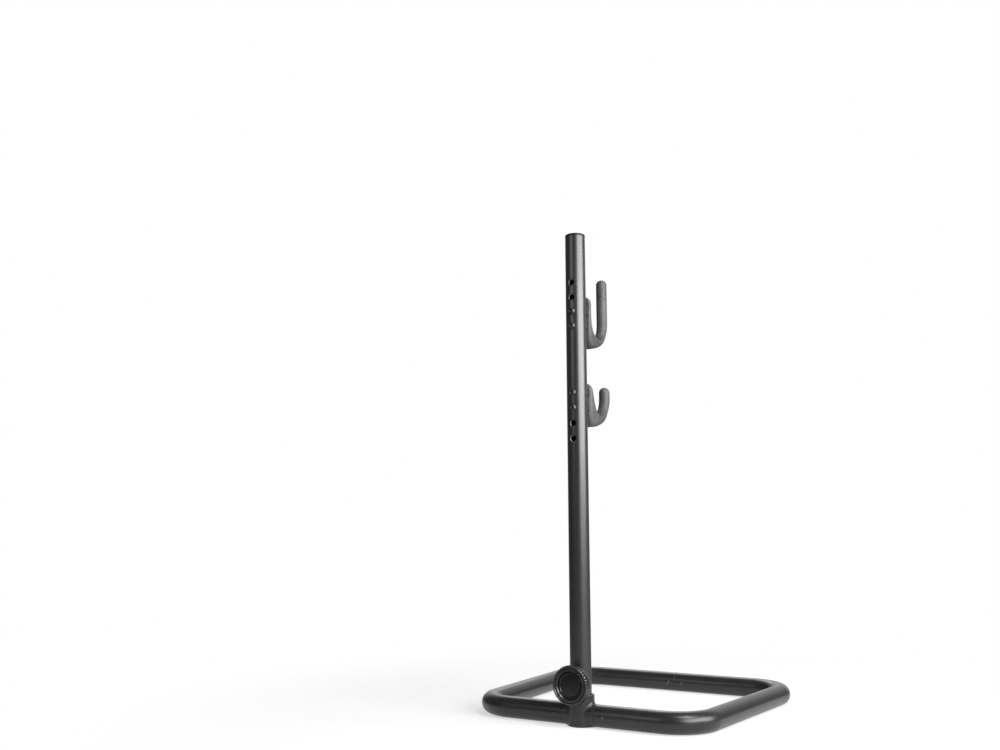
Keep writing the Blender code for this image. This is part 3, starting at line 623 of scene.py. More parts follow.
def hole_patch(height, facing):
    """One cross hole in its window, from the window's border to the hole, through the wall and out again.

    On the skin, a point slides evenly in angle and height from the border to the hole's circle. The border
    and the circle both start at their low left corner. The hole's lip is a quarter circle, its wall runs
    straight along Y, and the bore's side mirrors the skin's. The inner half of the lip is worn bare and
    painted pale, partly as a painted highlight that lights up the hole.
    """
    inner = POST_RADIUS - POST_WALL
    half = HOLE_PITCH / 2
    step = np.linspace(-1.0, 1.0, WINDOW_STEPS, endpoint=False)
    one = np.ones(WINDOW_STEPS)
    border_angle = WINDOW * np.concatenate([step, one, -step, -one])
    border_height = half * np.concatenate([-one, step, one, -step])
    turn = np.linspace(-0.75, 1.25, 4 * WINDOW_STEPS, endpoint=False) * math.pi
    share = np.linspace(0.0, 1.0, HOLE_SKIN_ROWS)[:, None]

    def sheet(radius, reach):
        angle = np.arcsin(reach * np.cos(turn) / radius)
        return on_post(radius, border_angle + (angle - border_angle) * share,
                       border_height + (reach * np.sin(turn) - border_height) * share)

    skin = sheet(POST_RADIUS, HOLE_RADIUS + HOLE_LIP)
    tilt = np.linspace(0.0, math.pi / 2, HOLE_LIP_ROWS + 1)[1:, None]
    reach = HOLE_RADIUS + HOLE_LIP * (1 - np.sin(tilt))
    across = reach * np.cos(turn)
    rim = np.stack([across, HOLE_LIP * (1 - np.cos(tilt)) - np.sqrt(POST_RADIUS ** 2 - across ** 2),
                    reach * np.sin(turn)], axis=-1)
    bore = sheet(inner, HOLE_RADIUS)[::-1]
    grid = np.concatenate([skin, rim, bore])
    worn = HOLE_LIP_ROWS // 2
    # The inner lip rows are painted pale: worn bare metal, and partly a painted highlight in the hole
    edge = np.concatenate([np.zeros(HOLE_SKIN_ROWS + worn), np.full(worn + 1, HOLE_LIP_WEAR_AND_GLINT),
                           np.zeros(HOLE_SKIN_ROWS - 1)])
    if facing > 0:
        grid = grid * (-1.0, -1.0, 1.0)
    return (grid + (0.0, 0.0, height), edge, True)


def post_tube():
    """The wall in zones: windows with or without a hole at front and back, and plain sides between them."""
    low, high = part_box("post_tube")[0].z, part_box("post_tube")[1].z
    inner = POST_RADIUS - POST_WALL
    groups = [top - HOLE_PITCH * row for top in (LOWER_GROUP_TOP, UPPER_GROUP_TOP) for row in (3, 2, 1, 0)]
    holes = [(CLAMP_HEIGHT, (-1,))] + [(height, (-1, 1)) for height in groups]
    across = {-1: np.linspace(-WINDOW, WINDOW, WINDOW_STEPS + 1),
              1: np.linspace(-WINDOW, WINDOW, WINDOW_STEPS + 1) + math.pi}
    sides = [np.linspace(WINDOW, math.pi - WINDOW, SIDE_COLUMNS + 1) + turn for turn in (0.0, math.pi)]
    patches, levels, start = [], [], low + POST_ROUND

    def wall(angles, heights):
        for radius in (POST_RADIUS, inner):
            patches.append((on_post(radius, angles, heights[:, None]), np.zeros(heights.size), False))

    def plain_zone(bottom, top):
        count = max(2, math.ceil((top - bottom) / PLAIN_ROW_HEIGHT) + 1)
        heights = np.linspace(bottom, top, count)
        for angles in across.values():
            wall(angles, heights)
        levels.append(heights)

    for height, faces in holes:
        bottom, top = height - HOLE_PITCH / 2, height + HOLE_PITCH / 2
        if bottom - start > MERGE:
            plain_zone(start, bottom)
        heights = np.linspace(bottom, top, WINDOW_STEPS + 1)
        for face, angles in across.items():
            if face in faces:
                patches.append(hole_patch(height, face))
            else:
                wall(angles, heights)
        levels.append(heights)
        start = top
    plain_zone(start, high - POST_ROUND)
    for angles in sides:
        wall(angles, np.concatenate(levels))
    columns = np.concatenate([across[-1][:-1], sides[0][:-1], across[1][:-1], sides[1][:-1]]) - math.pi / 2
    soft = POST_ROUND * POST_END_SOFTNESS
    for end, back in ((low, low + POST_ROUND), (high, high - POST_ROUND)):
        rim = profile([(POST_RADIUS, back, 0.0), (POST_RADIUS, end, soft), (inner, end, soft),
                       (inner, back, 0.0)])
        patches.append((turned(rim, ORIGIN, UP_AXIS, columns), rim[:, 2] * TUBE_END_WEAR, True))
    return patches


def post_cap():
    """A flat-topped plug turned round the post's axis, with a soft edge, a shallow dish and a skirt."""
    low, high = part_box("post_cap")[0].z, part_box("post_cap")[1].z
    seat = high - CAP_BRIM
    dish = high - CAP_DISH_DEPTH
    skirt = SPIGOT_RADIUS - CAP_WALL
    rows = profile([(0.0, dish, 0.0), (CAP_DISH_RADIUS, dish, 0.0010), (CAP_RIM_RADIUS, high, 0.0010),
                    (POST_RADIUS, high, 0.0013), (POST_RADIUS, seat, 0.0003), (SPIGOT_RADIUS, seat, 0.0002),
                    (SPIGOT_RADIUS, low, 0.0005), (skirt, low, 0.0003), (skirt, seat, 0.0006),
                    (0.0, seat, 0.0)])
    return [turned_patch(rows, ORIGIN, UP_AXIS)]


def socket_bush():
    """A thin ring turned round the post's axis, with soft ends."""
    low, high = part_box("socket_bush")[0].z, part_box("socket_bush")[1].z
    rows = profile([(BUSH_OUTSIDE, high, BUSH_ROUND), (BUSH_OUTSIDE, low, BUSH_ROUND),
                    (BUSH_INSIDE, low, BUSH_ROUND), (BUSH_INSIDE, high, BUSH_ROUND)], closed=True)
    return [turned_patch(rows, ORIGIN, UP_AXIS)]


# Cast socket

def collar_lines(side, angles, end):
    """Lines along a collar, over the fillet, and up or down the neck to a level end.

    A ball rolls in the corner: its centre is where the two cylinders, grown by its radius, meet. Each line
    runs along the collar to the ball's touching point, turns evenly round the ball to its touching point
    on the neck, or to the floor where that comes first, and then follows the neck.
    """
    around = np.stack([np.zeros(angles.size), np.sin(angles), np.cos(angles)], axis=-1)
    middle = np.array((0.0, 0.0, LOOP_RADIUS))
    ball = around * (LOOP_RADIUS + FILLET_RADIUS)
    ball[:, 0] = np.sqrt((NECK_RADIUS + FILLET_RADIUS) ** 2 - ball[:, 1] ** 2)
    to_neck = -ball * (1.0, 1.0, 0.0) / (NECK_RADIUS + FILLET_RADIUS)
    spread = np.arccos(np.sum(-around * to_neck, axis=1))
    depth = ball[:, 2] + LOOP_RADIUS
    downward = np.minimum(FILLET_RADIUS * np.cos(angles), -TINY)
    rise = np.where(depth < 0, depth * np.sin(spread) / downward, 0.0)
    stop = 1 - np.arcsin(np.clip(rise, 0.0, 1.0)) / spread
    share = (np.linspace(0.0, 1.0, FILLET_ROWS)[:, None] * stop)[..., None]
    wide = spread[:, None]
    arc = ball + middle + FILLET_RADIUS * (np.sin((1 - share) * wide) * -around
                                           + np.sin(share * wide) * to_neck) / np.sin(wide)
    plug_end = COLLAR_REACH + PLUG_LENGTH
    ends = profile([(0.0, plug_end, 0.0), (PLUG_RADIUS, plug_end, PLUG_ROUND),
                    (PLUG_RADIUS, COLLAR_REACH, 0.0004), (LOOP_RADIUS, COLLAR_REACH, 0.0003),
                    (LOOP_RADIUS, COLLAR_REACH - COLLAR_START, 0.0)])
    collar = ends[:, 0, None, None] * around + middle + ends[:, 1, None, None] * np.array((1.0, 0.0, 0.0))
    rows = UPPER_NECK_ROWS if end > LOOP_RADIUS else LOWER_NECK_ROWS
    climb = np.linspace(0.0, 1.0, rows + 1)[1:, None, None]
    foot = arc[-1] * (1.0, 1.0, 0.0) + np.array((0.0, 0.0, end))
    neck = arc[-1] + (foot - arc[-1]) * climb
    grid = np.concatenate([collar, arc, neck]) * (side, 1.0, 1.0)
    return (grid, np.concatenate([ends[:, 2], np.zeros(FILLET_ROWS + rows)]), False)


def post_socket():
    """The casting: filleted collars at both sides, plain neck between them, rim, bore, spigot and underside.

    The plain neck starts where the ball of the fillet leaves it, at an angle whose sine is the ratio of the
    collar's and the neck's radius, both grown by the ball. The underside shrinks its outline to a point.
    """
    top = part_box("socket_bush")[1].z
    shoulder = top - NECK_RIM
    upper = np.linspace(-math.pi / 2, math.pi / 2, COLLAR_COLUMNS)
    lower = np.linspace(math.pi / 2, 3 * math.pi / 2, COLLAR_COLUMNS)
    patches, floor_right = [], None
    for side in (1, -1):
        patches.append(collar_lines(side, upper, shoulder))
        patches.append(collar_lines(side, lower, 0.0))
        if side > 0:
            floor_right = patches[-1][0][-1]
    share = (LOOP_RADIUS + FILLET_RADIUS) / (NECK_RADIUS + FILLET_RADIUS)
    edge = math.asin(share)
    gap = np.linspace(edge, math.pi - edge, NECK_COLUMNS)
    heights = np.concatenate([np.linspace(shoulder, LOOP_RADIUS, UPPER_NECK_ROWS + 1),
                              np.linspace(LOOP_RADIUS, 0.0, LOWER_NECK_ROWS + 1)[1:]])
    plain = np.stack([heights * 0 + NECK_RADIUS, heights, heights * 0], axis=1)
    for turn in (gap, gap + math.pi):
        patches.append((turned(plain, ORIGIN, UP_AXIS, turn), plain[:, 2], False))
    right = np.arcsin(share * np.sin(upper))
    columns = np.concatenate([right[:-1], gap[:-1], right[:-1] + math.pi, gap[:-1] + math.pi])
    rim = profile([(NECK_RADIUS, shoulder, 0.0), (NECK_RADIUS, top, NECK_RIM * NECK_RIM_SOFTNESS),
                   (SOCKET_RADIUS, top, 0.0004), (SOCKET_RADIUS, SOCKET_FLOOR, 0.0006),
                   (SPIGOT_RADIUS, SOCKET_FLOOR, 0.0006),
                   (SPIGOT_RADIUS, SPIGOT_TOP, 0.0012), (0.0, SPIGOT_TOP, 0.0)])
    patches.append((turned(rim, ORIGIN, UP_AXIS, columns), rim[:, 2], True))
    arc = turned(plain[-1:], ORIGIN, UP_AXIS, gap)[0]
    outline = np.concatenate([floor_right[::-1][:-1], arc[:-1], floor_right[:-1] * (-1.0, 1.0, 1.0),
                              (arc * (-1.0, -1.0, 1.0))[:-1]])
    patches.append((np.stack([outline, outline * 0.5, outline * 0.0]), np.zeros(3), True))
    return patches


# Knob and clamp

def knob_body():
    """The grip: a profile round the knob's axis, whose rim dips into even valleys between flat teeth.

    The valleys fade out over the bevel of the front edge, so that each tooth ends in a bevel of its own.
    """
    face = KNOB_THICKNESS
    groove = face - GROOVE_DEPTH
    bevel_end = KNOB_RADIUS - BEVEL_SLOPE * TOOTH_BEVEL
    rows = profile([(STUD_BORE, STUD_BORE_TOP, 0.0), (STUD_BORE, 0.0, 0.0004),
                    (KNOB_RADIUS - BACK_RIM, 0.0, 0.0006), (KNOB_RADIUS - BACK_STEP_RIM, BACK_STEP, 0.0006),
                    (KNOB_RADIUS, BACK_STEP, 0.0011), (KNOB_RADIUS, face - TOOTH_BEVEL, 0.0002),
                    (bevel_end, face, 0.0002), (GROOVE_RADIUS + GROOVE_LIP, face, 0.0003),
                    (GROOVE_RADIUS + GROOVE_OUTSIDE, groove, 0.0003),
                    (GROOVE_RADIUS + GROOVE_INSIDE, groove, 0.0002), (GROOVE_RADIUS, face, 0.0004),
                    (DISH_RADIUS + DISH_FLARE, face, 0.0005), (DISH_RADIUS, face - DISH_FLARE_DEPTH, 0.0005),
                    (DISH_RADIUS, DISH_FLOOR, 0.0003), (HUB_RADIUS, DISH_FLOOR, 0.0003),
                    (HUB_RADIUS, HUB_FLOOR, 0.0003), (STUD_BORE, HUB_FLOOR, 0.0)], steps=5)
    turn = full_circle(KNOB_TEETH * TOOTH_COLUMNS)
    share = np.abs((turn * KNOB_TEETH / (2 * math.pi) + 0.5) % 1.0 - 0.5)
    valley = eased((share - FLAT_SHARE) / FLAT_SHARE)
    rim = eased((rows[:, 0] - bevel_end) / (KNOB_RADIUS - bevel_end)) * (rows[:, 1] > TEETH_START)
    grid = turned(rows, KNOB_CENTRE, FRONT_AXIS, turn, -TOOTH_DEPTH * rim[:, None] * valley)
    return [(grid, rows[:, 2], True)]


def knob_disc():
    """The face disc: a sunk edge, a raised ring with sloped sides and a bare middle.

    The middle is crowned: it rises by one less the square of the radius as a share of the crown's.
    """
    low = DISH_FLOOR + GAP
    high = low + DISC_THICKNESS
    sunk = high - DISC_EDGE_DROP
    raised = high + RING_RISE
    edge = DISH_RADIUS - GAP
    crown = np.linspace(0.0, CROWN_RADIUS, CROWN_ROWS)
    middle = np.stack([crown, high + CROWN_RISE * (1 - (crown / CROWN_RADIUS) ** 2), crown * 0], axis=1)
    rim = profile([(CROWN_RADIUS, high, 0.0), (RING_RADII[0], high, 0.0003), (RING_RADII[1], raised, 0.0003),
                   (RING_RADII[2], raised, 0.0003), (RING_RADII[3], sunk, 0.0003), (edge, sunk, 0.0003),
                   (edge, low, 0.0003), (0.0, low, 0.0)])
    return [turned_patch(np.vstack([middle, rim[1:]]), KNOB_CENTRE, FRONT_AXIS, DISC_COLUMNS)]


def hexagon(turn, half):
    """A hexagon's reach in each direction: half its width over the cosine of the angle from its flat."""
    return half / np.cos((turn + math.pi / 6) % (math.pi / 3) - math.pi / 6)


def clamp_stud():
    """A threaded stud: the radius follows a rounded wave of the height less the turn, once in each pitch.

    Rows run from the tip's middle up the thread, and over the hexagon head to the middle of its top.
    """
    head = DISH_FLOOR - GAP - NUT_THICKNESS
    end = STUD_TIP - KNOB_BACK
    heights = np.linspace(end + TIP_LENGTH, head, STUD_ROWS)
    turn = full_circle(SMALL_COLUMNS)
    wave = np.abs((heights[:, None] / THREAD_PITCH - turn / (2 * math.pi)) % 1.0 - 0.5) * 2
    depth = THREAD_DEPTH * eased((wave - THREAD_FLAT) / (1 - 2 * THREAD_FLAT))
    rows = np.stack([heights * 0 + STUD_RADIUS, heights, heights * 0], axis=1)
    shank = turned(rows, KNOB_CENTRE, FRONT_AXIS, turn, -depth)
    tip = np.array([[0.0, end, 0.0], [STUD_RADIUS - TIP_BEVEL, end, 1.0]])
    point = turned(tip, KNOB_CENTRE, FRONT_AXIS, turn)
    flat = hexagon(turn, NUT_HALF)
    top = head + NUT_THICKNESS
    nut = np.array([[0.0, head, 0.0], [0.0, head + NUT_BEVEL_RISE, 1.0], [0.0, top - NUT_BEVEL_RISE, 1.0],
                    [0.0, top, 0.5], [0.0, top, 0.0]])
    reach = np.stack([flat - NUT_BEVEL, flat, flat, flat - NUT_BEVEL, flat * 0])
    grid = np.concatenate([point, shank, turned(nut, KNOB_CENTRE, FRONT_AXIS, turn, reach)])
    return [(grid, np.concatenate([tip[:, 2], np.zeros(STUD_ROWS), nut[:, 2]]), True)]


def clamp_boss():
    """A threaded boss whose foot follows the post: its depth there is the height of the post's circle."""
    turn = full_circle(ROUND_COLUMNS)
    shape = profile([(STUD_BORE, -BOSS_BED, 0.0), (STUD_BORE, -BOSS_FRONT, 0.0006),
                     (BOSS_RADIUS, -BOSS_FRONT, 0.0009), (BOSS_RADIUS, -BOSS_BED, 0.0)])
    sideways = np.array([[BOSS_RADIUS], [STUD_BORE]]) * np.cos(turn)
    foot = -np.sqrt((POST_RADIUS + GAP) ** 2 - sideways ** 2)
    radius = np.concatenate([shape[:, 0], [BOSS_RADIUS, STUD_BORE, STUD_BORE]])[:, None]
    depth = np.concatenate([np.repeat(shape[:, 1, None], turn.size, axis=1), foot,
                            np.full((1, turn.size), -BOSS_BED)])
    grid = np.stack([radius * np.cos(turn), depth, CLAMP_HEIGHT + radius * np.sin(turn)], axis=-1)
    return [(grid, np.concatenate([shape[:, 2] * BOSS_WEAR, np.zeros(3)]), True)]


# Fasteners

def dome_height(radius, head, dome):
    """A sphere's cap over a head: the height of the sphere through the dome's top and the head's edge."""
    swell = (head * head + dome * dome) / (2 * dome)
    return dome - swell + np.sqrt(swell * swell - radius * radius)


def socket_screw(place, head, dome, shank, length, key, key_depth):
    """A domed head that faces -Y on a shank. The dome is a sphere's cap, and the key's socket a hexagon.

    Rows run from the socket's floor, drilled deeper in its middle, up its wall and bevelled lip, over the
    dome to the brim, under the head and down the shank.
    """
    turn = full_circle(ROUND_COLUMNS)
    ring = np.ones(turn.size)
    flat = hexagon(turn, key / 2)
    lip = KEY_LIP * key
    brim = head * HEAD_BRIM
    floor = dome - key_depth
    share = np.linspace(0.0, 1.0, DOME_ROWS)[:, None]
    brow = flat + lip + (brim - flat - lip) * share
    radius = np.concatenate([[flat * 0], [flat * DRILL_RING], [flat], [flat], brow])
    wall_top = dome_height(flat + lip, head, dome) - KEY_LIP_DROP * lip
    height = np.concatenate([[ring * (floor - DRILL_DEPTH * key)], [ring * floor], [ring * floor], [wall_top],
                             dome_height(brow, head, dome)])
    under = profile([(brim, dome_height(brim, head, dome), 0.0), (head, BRIM_HEIGHT * dome, 0.0),
                     (head * UNDER_HEAD, 0.0, 0.0), (shank, 0.0, 0.0), (shank, -length, shank * SHANK_ROUND),
                     (0.0, -length, 0.0)])[1:]
    radius = np.concatenate([radius, under[:, 0, None] * ring])
    height = np.concatenate([height, under[:, 1, None] * ring])
    grid = np.stack([radius * np.cos(turn), -height, radius * np.sin(turn)], axis=-1) + np.array(place)
    edge = np.concatenate([[0.0, 0.0, 0.0, 1.0, 1.0], np.full(DOME_ROWS - 1, DOME_WEAR), [BRIM_WEAR],
                           np.zeros(len(under) - 1)])
    return [(grid, edge, True)]


def rivet(place, head, dome, shank, length):
    """A domed rivet turned round its axis: a sphere's cap over a plain shank."""
    radius = np.linspace(0.0, head * RIVET_BRIM, RIVET_ROWS)
    cap = np.stack([radius, dome_height(radius, head, dome), radius * 0 + RIVET_WEAR], axis=1)
    under = profile([(head, RIVET_EDGE * dome, 0.0), (shank, 0.0, 0.0), (shank, -length, shank * SHANK_ROUND),
                     (0.0, -length, 0.0)])
    return [turned_patch(np.vstack([cap, under]), place, FRONT_AXIS, SMALL_COLUMNS)]


def saddle(height):
    """An oval pad between post and hook. Its near face follows the post's circle, its far face is flat.

    Rows run from the screw hole over the flat face to the oval's soft edge, down its side to the post,
    and back over the hollow face to the hole. Between hole and oval a point slides evenly.
    """
    turn = full_circle(ROUND_COLUMNS)
    hole = SCREW_RADIUS + GAP
    ring = np.stack([hole * np.cos(turn), hole * np.sin(turn)], axis=-1)
    oval = np.stack([SADDLE_WIDTH / 2 * np.cos(turn), SADDLE_HEIGHT / 2 * np.sin(turn)], axis=-1)
    far = PLATE_FRONT - GAP
    tilt = np.linspace(0.0, math.pi / 2, SADDLE_EDGE_ROWS)[:, None, None]
    inset = oval / np.linalg.norm(oval, axis=1, keepdims=True) * SADDLE_ROUND
    share = np.linspace(0.0, 1.0, SADDLE_FACE_ROWS)[:, None, None]
    flat = ring + (oval - inset - ring) * share
    edge = oval - inset * (1 - np.sin(tilt))
    hollow = oval + (ring - oval) * share

    def near(plan):
        return np.sqrt((POST_RADIUS + GAP) ** 2 - plan[..., 0] ** 2)

    plan = np.concatenate([flat, edge[1:], hollow, ring[None]])
    side = (far - SADDLE_ROUND * (1 - np.cos(tilt[1:, :, 0]))) * np.ones(turn.size)
    depth = np.concatenate([np.full(flat.shape[:2], far), side, near(hollow), np.full((1, turn.size), far)])
    grid = np.stack([plan[..., 0], depth, plan[..., 1] + height], axis=-1)
    mask = np.concatenate([np.zeros(SADDLE_FACE_ROWS), np.ones(SADDLE_EDGE_ROWS - 1),
                           np.zeros(SADDLE_FACE_ROWS + 1)])
    return [(grid, mask, True)]


# Hooks

def in_plane(y, z):
    return np.stack(np.broadcast_arrays(y, z), axis=-1)


def hook_stations(hook):
    """Inner and outer points in the YZ plane, width and roundness along a hook.

    The plate's top is a rounded outline that thins to a soft edge. Below it the throat's plate side is a
    quarter of a superellipse and the outside a squared heel over a quarter ellipse that sweeps up to the
    prong. The throat's far side is a quarter circle, and the prong ends in a half ball.
    """
    plate_back = PLATE_FRONT + PLATE_THICKNESS
    low_screw = hook["top_screw"] - HOLE_PITCH
    top = hook["top_screw"] + hook["plate_rise"]
    prong_top = hook["top_screw"] + hook["prong_rise"]
    heel = low_screw - hook["heel_drop"]
    floor = low_screw - hook["floor_drop"]
    throat_top = floor + hook["throat_rise"]
    half = hook["throat_width"] / 2
    centre = plate_back + half
    reach = PLATE_THICKNESS + hook["throat_width"] + 2 * PRONG_RADIUS
    power = hook["squareness"]

    tilt = TOP_ANGLES
    z = top - PLATE_WIDTH / 2 * (1 - np.cos(tilt) ** TOP_POWER)
    fall = np.maximum(0.0, throat_top - z) / hook["throat_rise"]
    swell = half * (1 - (1 - fall ** power) ** (1 / power))
    depth = (PLATE_THICKNESS + swell) / 2
    thin = depth * (1 - TOP_THINNING * np.cos(tilt) ** TOP_THIN_POWER)
    thin = thin * np.sqrt(1 - np.cos(tilt) ** TOP_EDGE_POWER)
    middle = PLATE_FRONT + depth
    plate = (in_plane(middle + thin, z), in_plane(middle - thin, z), PLATE_WIDTH * np.sin(tilt) ** TOP_POWER,
             tilt * 0)

    start = min(top - PLATE_WIDTH / 2, throat_top)
    first = math.asin(((throat_top - start) / hook["throat_rise"]) ** (power / 2))
    share = np.linspace(0.0, 1.0, THROAT_ROWS)[1:]
    turn = first + (math.pi / 2 - first) * share
    inner = in_plane(centre - half * np.abs(np.cos(turn)) ** (2 / power),
                     throat_top - hook["throat_rise"] * np.sin(turn) ** (2 / power))
    angle = math.pi / 2 * share
    round_out = (np.abs(np.cos(angle)) ** HEEL_POWER + np.sin(angle) ** HEEL_POWER) ** (-1 / HEEL_POWER)
    y = centre - (centre - PLATE_FRONT) * round_out * np.cos(angle)
    bottom = heel + SWEEP_RISE * (1 - np.sqrt(1 - ((y - PLATE_FRONT) / reach) ** 2))
    outer = in_plane(y, start - (start - bottom) * round_out * np.sin(angle))
    throat = (inner, outer, *tapered(share / 2))

    turn = math.pi / 2 * share
    inner = in_plane(centre + half * np.sin(turn), floor + half * (1 - np.cos(turn)))
    first = math.asin((centre - PLATE_FRONT) / reach)
    sweep = first + (math.pi / 2 - first) * share
    outer = in_plane(PLATE_FRONT + reach * np.sin(sweep), heel + SWEEP_RISE * (1 - np.cos(sweep)))
    rise = (inner, outer, *tapered((1 + share) / 2))

    lift = np.linspace(0.0, 1.0, PRONG_ROWS)[1:-1]
    level = floor + half + (prong_top - PRONG_RADIUS - floor - half) * lift
    near = plate_back + hook["throat_width"]
    outer_level = heel + SWEEP_RISE + (prong_top - PRONG_RADIUS - heel - SWEEP_RISE) * lift
    far = near + 2 * PRONG_RADIUS
    prong = (in_plane(near, level), in_plane(far, outer_level), level * 0 + 2 * PRONG_RADIUS, level * 0 + 1.0)

    tilt = np.linspace(0.0, math.pi / 2, PRONG_END_ROWS)
    level = prong_top - PRONG_RADIUS * (1 - np.sin(tilt))
    inset = PRONG_RADIUS * (1 - np.cos(tilt))
    dome = (in_plane(near + inset, level), in_plane(far - inset, level), 2 * (PRONG_RADIUS - inset),
            level * 0 + 1.0)
    return [np.concatenate(group) for group in zip(plate, throat, rise, prong, dome)]


def tapered(share):
    """Width and roundness along the throat, from the flat plate to the round prong."""
    taper = eased((share - TAPER_START) / TAPER_RUN)
    return PLATE_WIDTH + (2 * PRONG_RADIUS - PLATE_WIDTH) * taper, taper


def hook_coat(hook):
    """Sections across the stations: in each direction, a squared circle scaled to the depth and the width.

    The plate's sides draw in towards the post, by FRONT_DRAW of the width at the front face.
    """
    inner, outer, width, taper = hook_stations(hook)
    turn = full_circle(TUBE_COLUMNS)
    power = (PLATE_POWER + (PRONG_POWER - PLATE_POWER) * taper)[:, None]
    across, aside = np.cos(turn), np.sin(turn)
    reach = (np.abs(across) ** power + np.abs(aside) ** power) ** (-1 / power)
    middle = (inner + outer) / 2
    depth = (inner - outer) / 2
    drawn = 1 - FRONT_DRAW * (1 - taper)[:, None] * (1 - reach * across) / 2
    grid = np.stack([width[:, None] / 2 * reach * aside * drawn,
                     middle[:, None, 0] + depth[:, None, 0] * reach * across,
                     middle[:, None, 1] + depth[:, None, 1] * reach * across], axis=-1)
    return [(grid, np.zeros(len(width)), True)]


def dress_cad_nodes():
    """Inner nodes that keep their CAD meshes get the finish of their slot."""
    for node, finish in (("rear_sleeve", ZINC_STEEL), ("upper_hook_core", ZINC_STEEL),
                         ("lower_hook_core", ZINC_STEEL), ("clamp_pad", BLACK_STEEL)):
        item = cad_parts[node]
        item.data.materials.clear()
        item.data.materials.append(finish)


def dress_stand():
    """Every visible piece of the stand, in the place of its CAD node."""
    for side, word in ((-1, "left"), (1, "right")):
        # The loop halves take the darker copy of the coat, which paints shade on the base
        make_piece("loop_half_" + word, base_tube(side), SHADED_LOOP_COAT, "powder_coat",
                   "base", "base_tube_" + word)
        screw_place = (side * (COLLAR_REACH + LOOP_SCREW_REACH), -LOOP_RADIUS - GAP, LOOP_RADIUS)
        make_piece("loop_screw_" + word, socket_screw(screw_place, **LOOP_SCREW), BLACK_STEEL, "black_steel",
                   "base", "base_screw_" + word)
        rivet_place = (side * SEAM_RIVET_REACH, LOOP_DEPTH - LOOP_RADIUS - GAP, LOOP_RADIUS)
        make_piece("seam_rivet_" + word, rivet(rivet_place, **SEAM_RIVET), BLACK_STEEL, "black_steel",
                   "base", "rear_rivet_" + word)
    make_piece("cast_socket", post_socket(), CAST_PAINT, "cast_paint", "base", "post_socket")
    make_piece("socket_ring", socket_bush(), BUSH_NYLON, "bush_nylon", "bush", "socket_bush")
    make_piece("pierced_post", post_tube(), POWDER_COAT, "powder_coat", "post", "post_tube")
    make_piece("top_cap", post_cap(), CAP_PLASTIC, "cap_plastic", "post", "post_cap")
    make_piece("stud_boss", clamp_boss(), POWDER_COAT, "powder_coat", "post", "clamp_boss")
    make_piece("threaded_stud", clamp_stud(), ZINC_STEEL, "zinc_steel", "knob", "clamp_stud", sharp=35)
    make_piece("knob_grip", knob_body(), KNOB_PLASTIC, "knob_plastic", "knob", "knob_body")
    # The face disc takes the darker copy of the knob's plastic, which paints shade
    make_piece("knob_face", knob_disc(), SHADED_KNOB_FACE, "knob_plastic", "knob", "knob_disc")
    for name, hook in HOOKS.items():
        make_piece(name + "_rubber", hook_coat(hook), HOOK_RUBBER, "hook_rubber", "post", name + "_coat")
        for word, height in (("low", hook["top_screw"] - HOLE_PITCH), ("top", hook["top_screw"])):
            bolt_place = (0.0, -POST_RADIUS - GAP, height)
            make_piece(name + "_bolt_" + word, socket_screw(bolt_place, **HOOK_BOLT), BLACK_STEEL,
                       "black_steel", "post", name + "_screw_" + word)
            make_piece(name + "_pad_" + word, saddle(height), CAP_PLASTIC, "cap_plastic", "post",
                       name + "_saddle_" + word)
    dress_cad_nodes()


# Floor, light and camera

FLOOR_HALF = 3.0
FLOOR_PLACE = (0.0, 0.16, -0.0005)
FLOOR_TONE = (0.88, 0.88, 0.88, 1.0)
FLOOR_WHITE_SHARE = 0.6
FLOOR_FADE = (0.28, 0.75)
STUDIO_LEVEL = 0.14
BACKDROP = (-0.30, 0.88, 0.37)
BACKDROP_BAND = (0.7, 0.97)
LENS = 34.87
SENSOR_WIDTH = 36.0
CAMERA_PLACE = (0.5902, -1.1816, 0.2370)
CAMERA_TURN = (math.radians(99.68), 0.0, math.radians(31.14))

# Each lamp's name, place, target, width, height and power
LAMPS = (
    ("key", (1.49, -0.22, 0.82), (0.0, 0.0, 0.40), 2.0, 0.8, 55.0),
    ("high", (0.98, -0.30, 1.85), (0.0, 0.0, 0.1), 0.7, 0.5, 20.0),
    ("front", (-0.65, -1.75, 1.15), (0.0, 0.0, 0.5), 0.5, 0.9, 4.0),
    ("back", (-0.9, 1.8, 1.5), (0.0, 0.1, 0.2), 1.0, 1.0, 10.0),
)


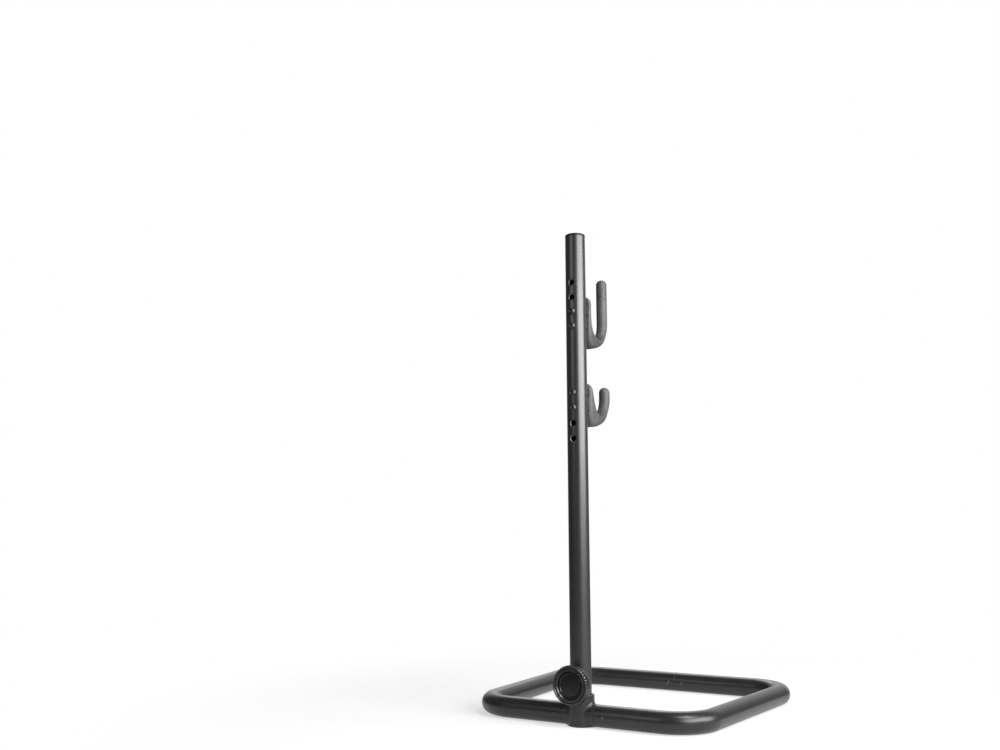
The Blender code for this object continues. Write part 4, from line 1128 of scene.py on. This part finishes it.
def make_floor():
    """A pale floor that fades out with distance, close to white but for the stand's shadow."""
    half = FLOOR_HALF
    mesh = bpy.data.meshes.new("floor")
    mesh.from_pydata([(-half, -half, 0.0), (half, -half, 0.0), (half, half, 0.0), (-half, half, 0.0)], [],
                     [(0, 1, 2, 3)])
    floor = bpy.data.objects.new("floor", mesh)
    floor.location = FLOOR_PLACE
    bpy.context.scene.collection.objects.link(floor)
    material = bpy.data.materials.new("pale_floor")
    material.use_nodes = True
    tree = material.node_tree
    tree.nodes.remove(tree.nodes["Principled BSDF"])
    paint = add_node(tree, "ShaderNodeBsdfDiffuse", {"Color": FLOOR_TONE})
    glow = add_node(tree, "ShaderNodeEmission", {"Color": WHITE, "Strength": 1.0})
    clear = add_node(tree, "ShaderNodeBsdfTransparent")
    ray = add_node(tree, "ShaderNodeLightPath")
    seen = math_node(tree, "ADD", ray.outputs["Is Camera Ray"], ray.outputs["Is Glossy Ray"])
    seen = math_node(tree, "ADD", seen, ray.outputs["Is Transmission Ray"])
    seen = math_node(tree, "MULTIPLY", seen, FLOOR_WHITE_SHARE)
    lit = add_node(tree, "ShaderNodeMixShader",
                   {0: seen, 1: paint.outputs["BSDF"], 2: glow.outputs["Emission"]})
    where = add_node(tree, "ShaderNodeTexCoord")
    distance = add_node(tree, "ShaderNodeVectorMath", {0: where.outputs["Object"]}, operation="LENGTH")
    mix = add_node(tree, "ShaderNodeMixShader",
                   {0: span(tree, distance.outputs["Value"], FLOOR_FADE, "SMOOTHSTEP"),
                    1: lit.outputs["Shader"], 2: clear.outputs["BSDF"]})
    tree.links.new(mix.outputs["Shader"], tree.nodes["Material Output"].inputs["Surface"])
    mesh.materials.append(material)


def make_world():
    """A dim studio with a white backdrop: white for the camera, and for gloss in the backdrop's direction."""
    world = bpy.data.worlds.new("studio")
    bpy.context.scene.world = world
    world.use_nodes = True
    tree = world.node_tree
    soft = tree.nodes["Background"]
    soft.inputs["Color"].default_value = WHITE
    soft.inputs["Strength"].default_value = STUDIO_LEVEL
    white = add_node(tree, "ShaderNodeBackground", {"Color": WHITE, "Strength": 1.0})
    ray = add_node(tree, "ShaderNodeLightPath")
    where = add_node(tree, "ShaderNodeTexCoord")
    facing = add_node(tree, "ShaderNodeVectorMath", {0: where.outputs["Generated"], 1: BACKDROP},
                      operation="DOT_PRODUCT")
    behind = span(tree, facing.outputs["Value"], BACKDROP_BAND, "SMOOTHSTEP")
    mirrored = math_node(tree, "MULTIPLY", ray.outputs["Is Glossy Ray"], behind)
    seen = math_node(tree, "ADD", ray.outputs["Is Camera Ray"], ray.outputs["Is Transmission Ray"])
    seen = math_node(tree, "ADD", seen, mirrored)
    mix = add_node(tree, "ShaderNodeMixShader",
                   {0: seen, 1: soft.outputs["Background"], 2: white.outputs["Background"]})
    tree.links.new(mix.outputs["Shader"], tree.nodes["World Output"].inputs["Surface"])


def add_lamp(name, place, target, width, height, power):
    """A soft rectangular lamp that faces a target."""
    data = bpy.data.lights.new(name, "AREA")
    data.shape = "RECTANGLE"
    data.size = width
    data.size_y = height
    data.energy = power
    lamp = bpy.data.objects.new(name, data)
    lamp.location = place
    lamp.rotation_euler = (lamp.location - Vector(target)).to_track_quat("Z", "Y").to_euler()
    bpy.context.scene.collection.objects.link(lamp)


def make_camera():
    """The camera that was solved from the base loop."""
    data = bpy.data.cameras.new("photo_view")
    data.lens = LENS
    data.sensor_width = SENSOR_WIDTH
    data.sensor_fit = "HORIZONTAL"
    camera = bpy.data.objects.new("photo_view", data)
    camera.location = CAMERA_PLACE
    camera.rotation_euler = CAMERA_TURN
    bpy.context.scene.collection.objects.link(camera)
    bpy.context.scene.camera = camera


make_camera()
dress_stand()
make_floor()
make_world()
for lamp in LAMPS:
    add_lamp(*lamp)
bpy.context.scene.view_settings.view_transform = "Standard"
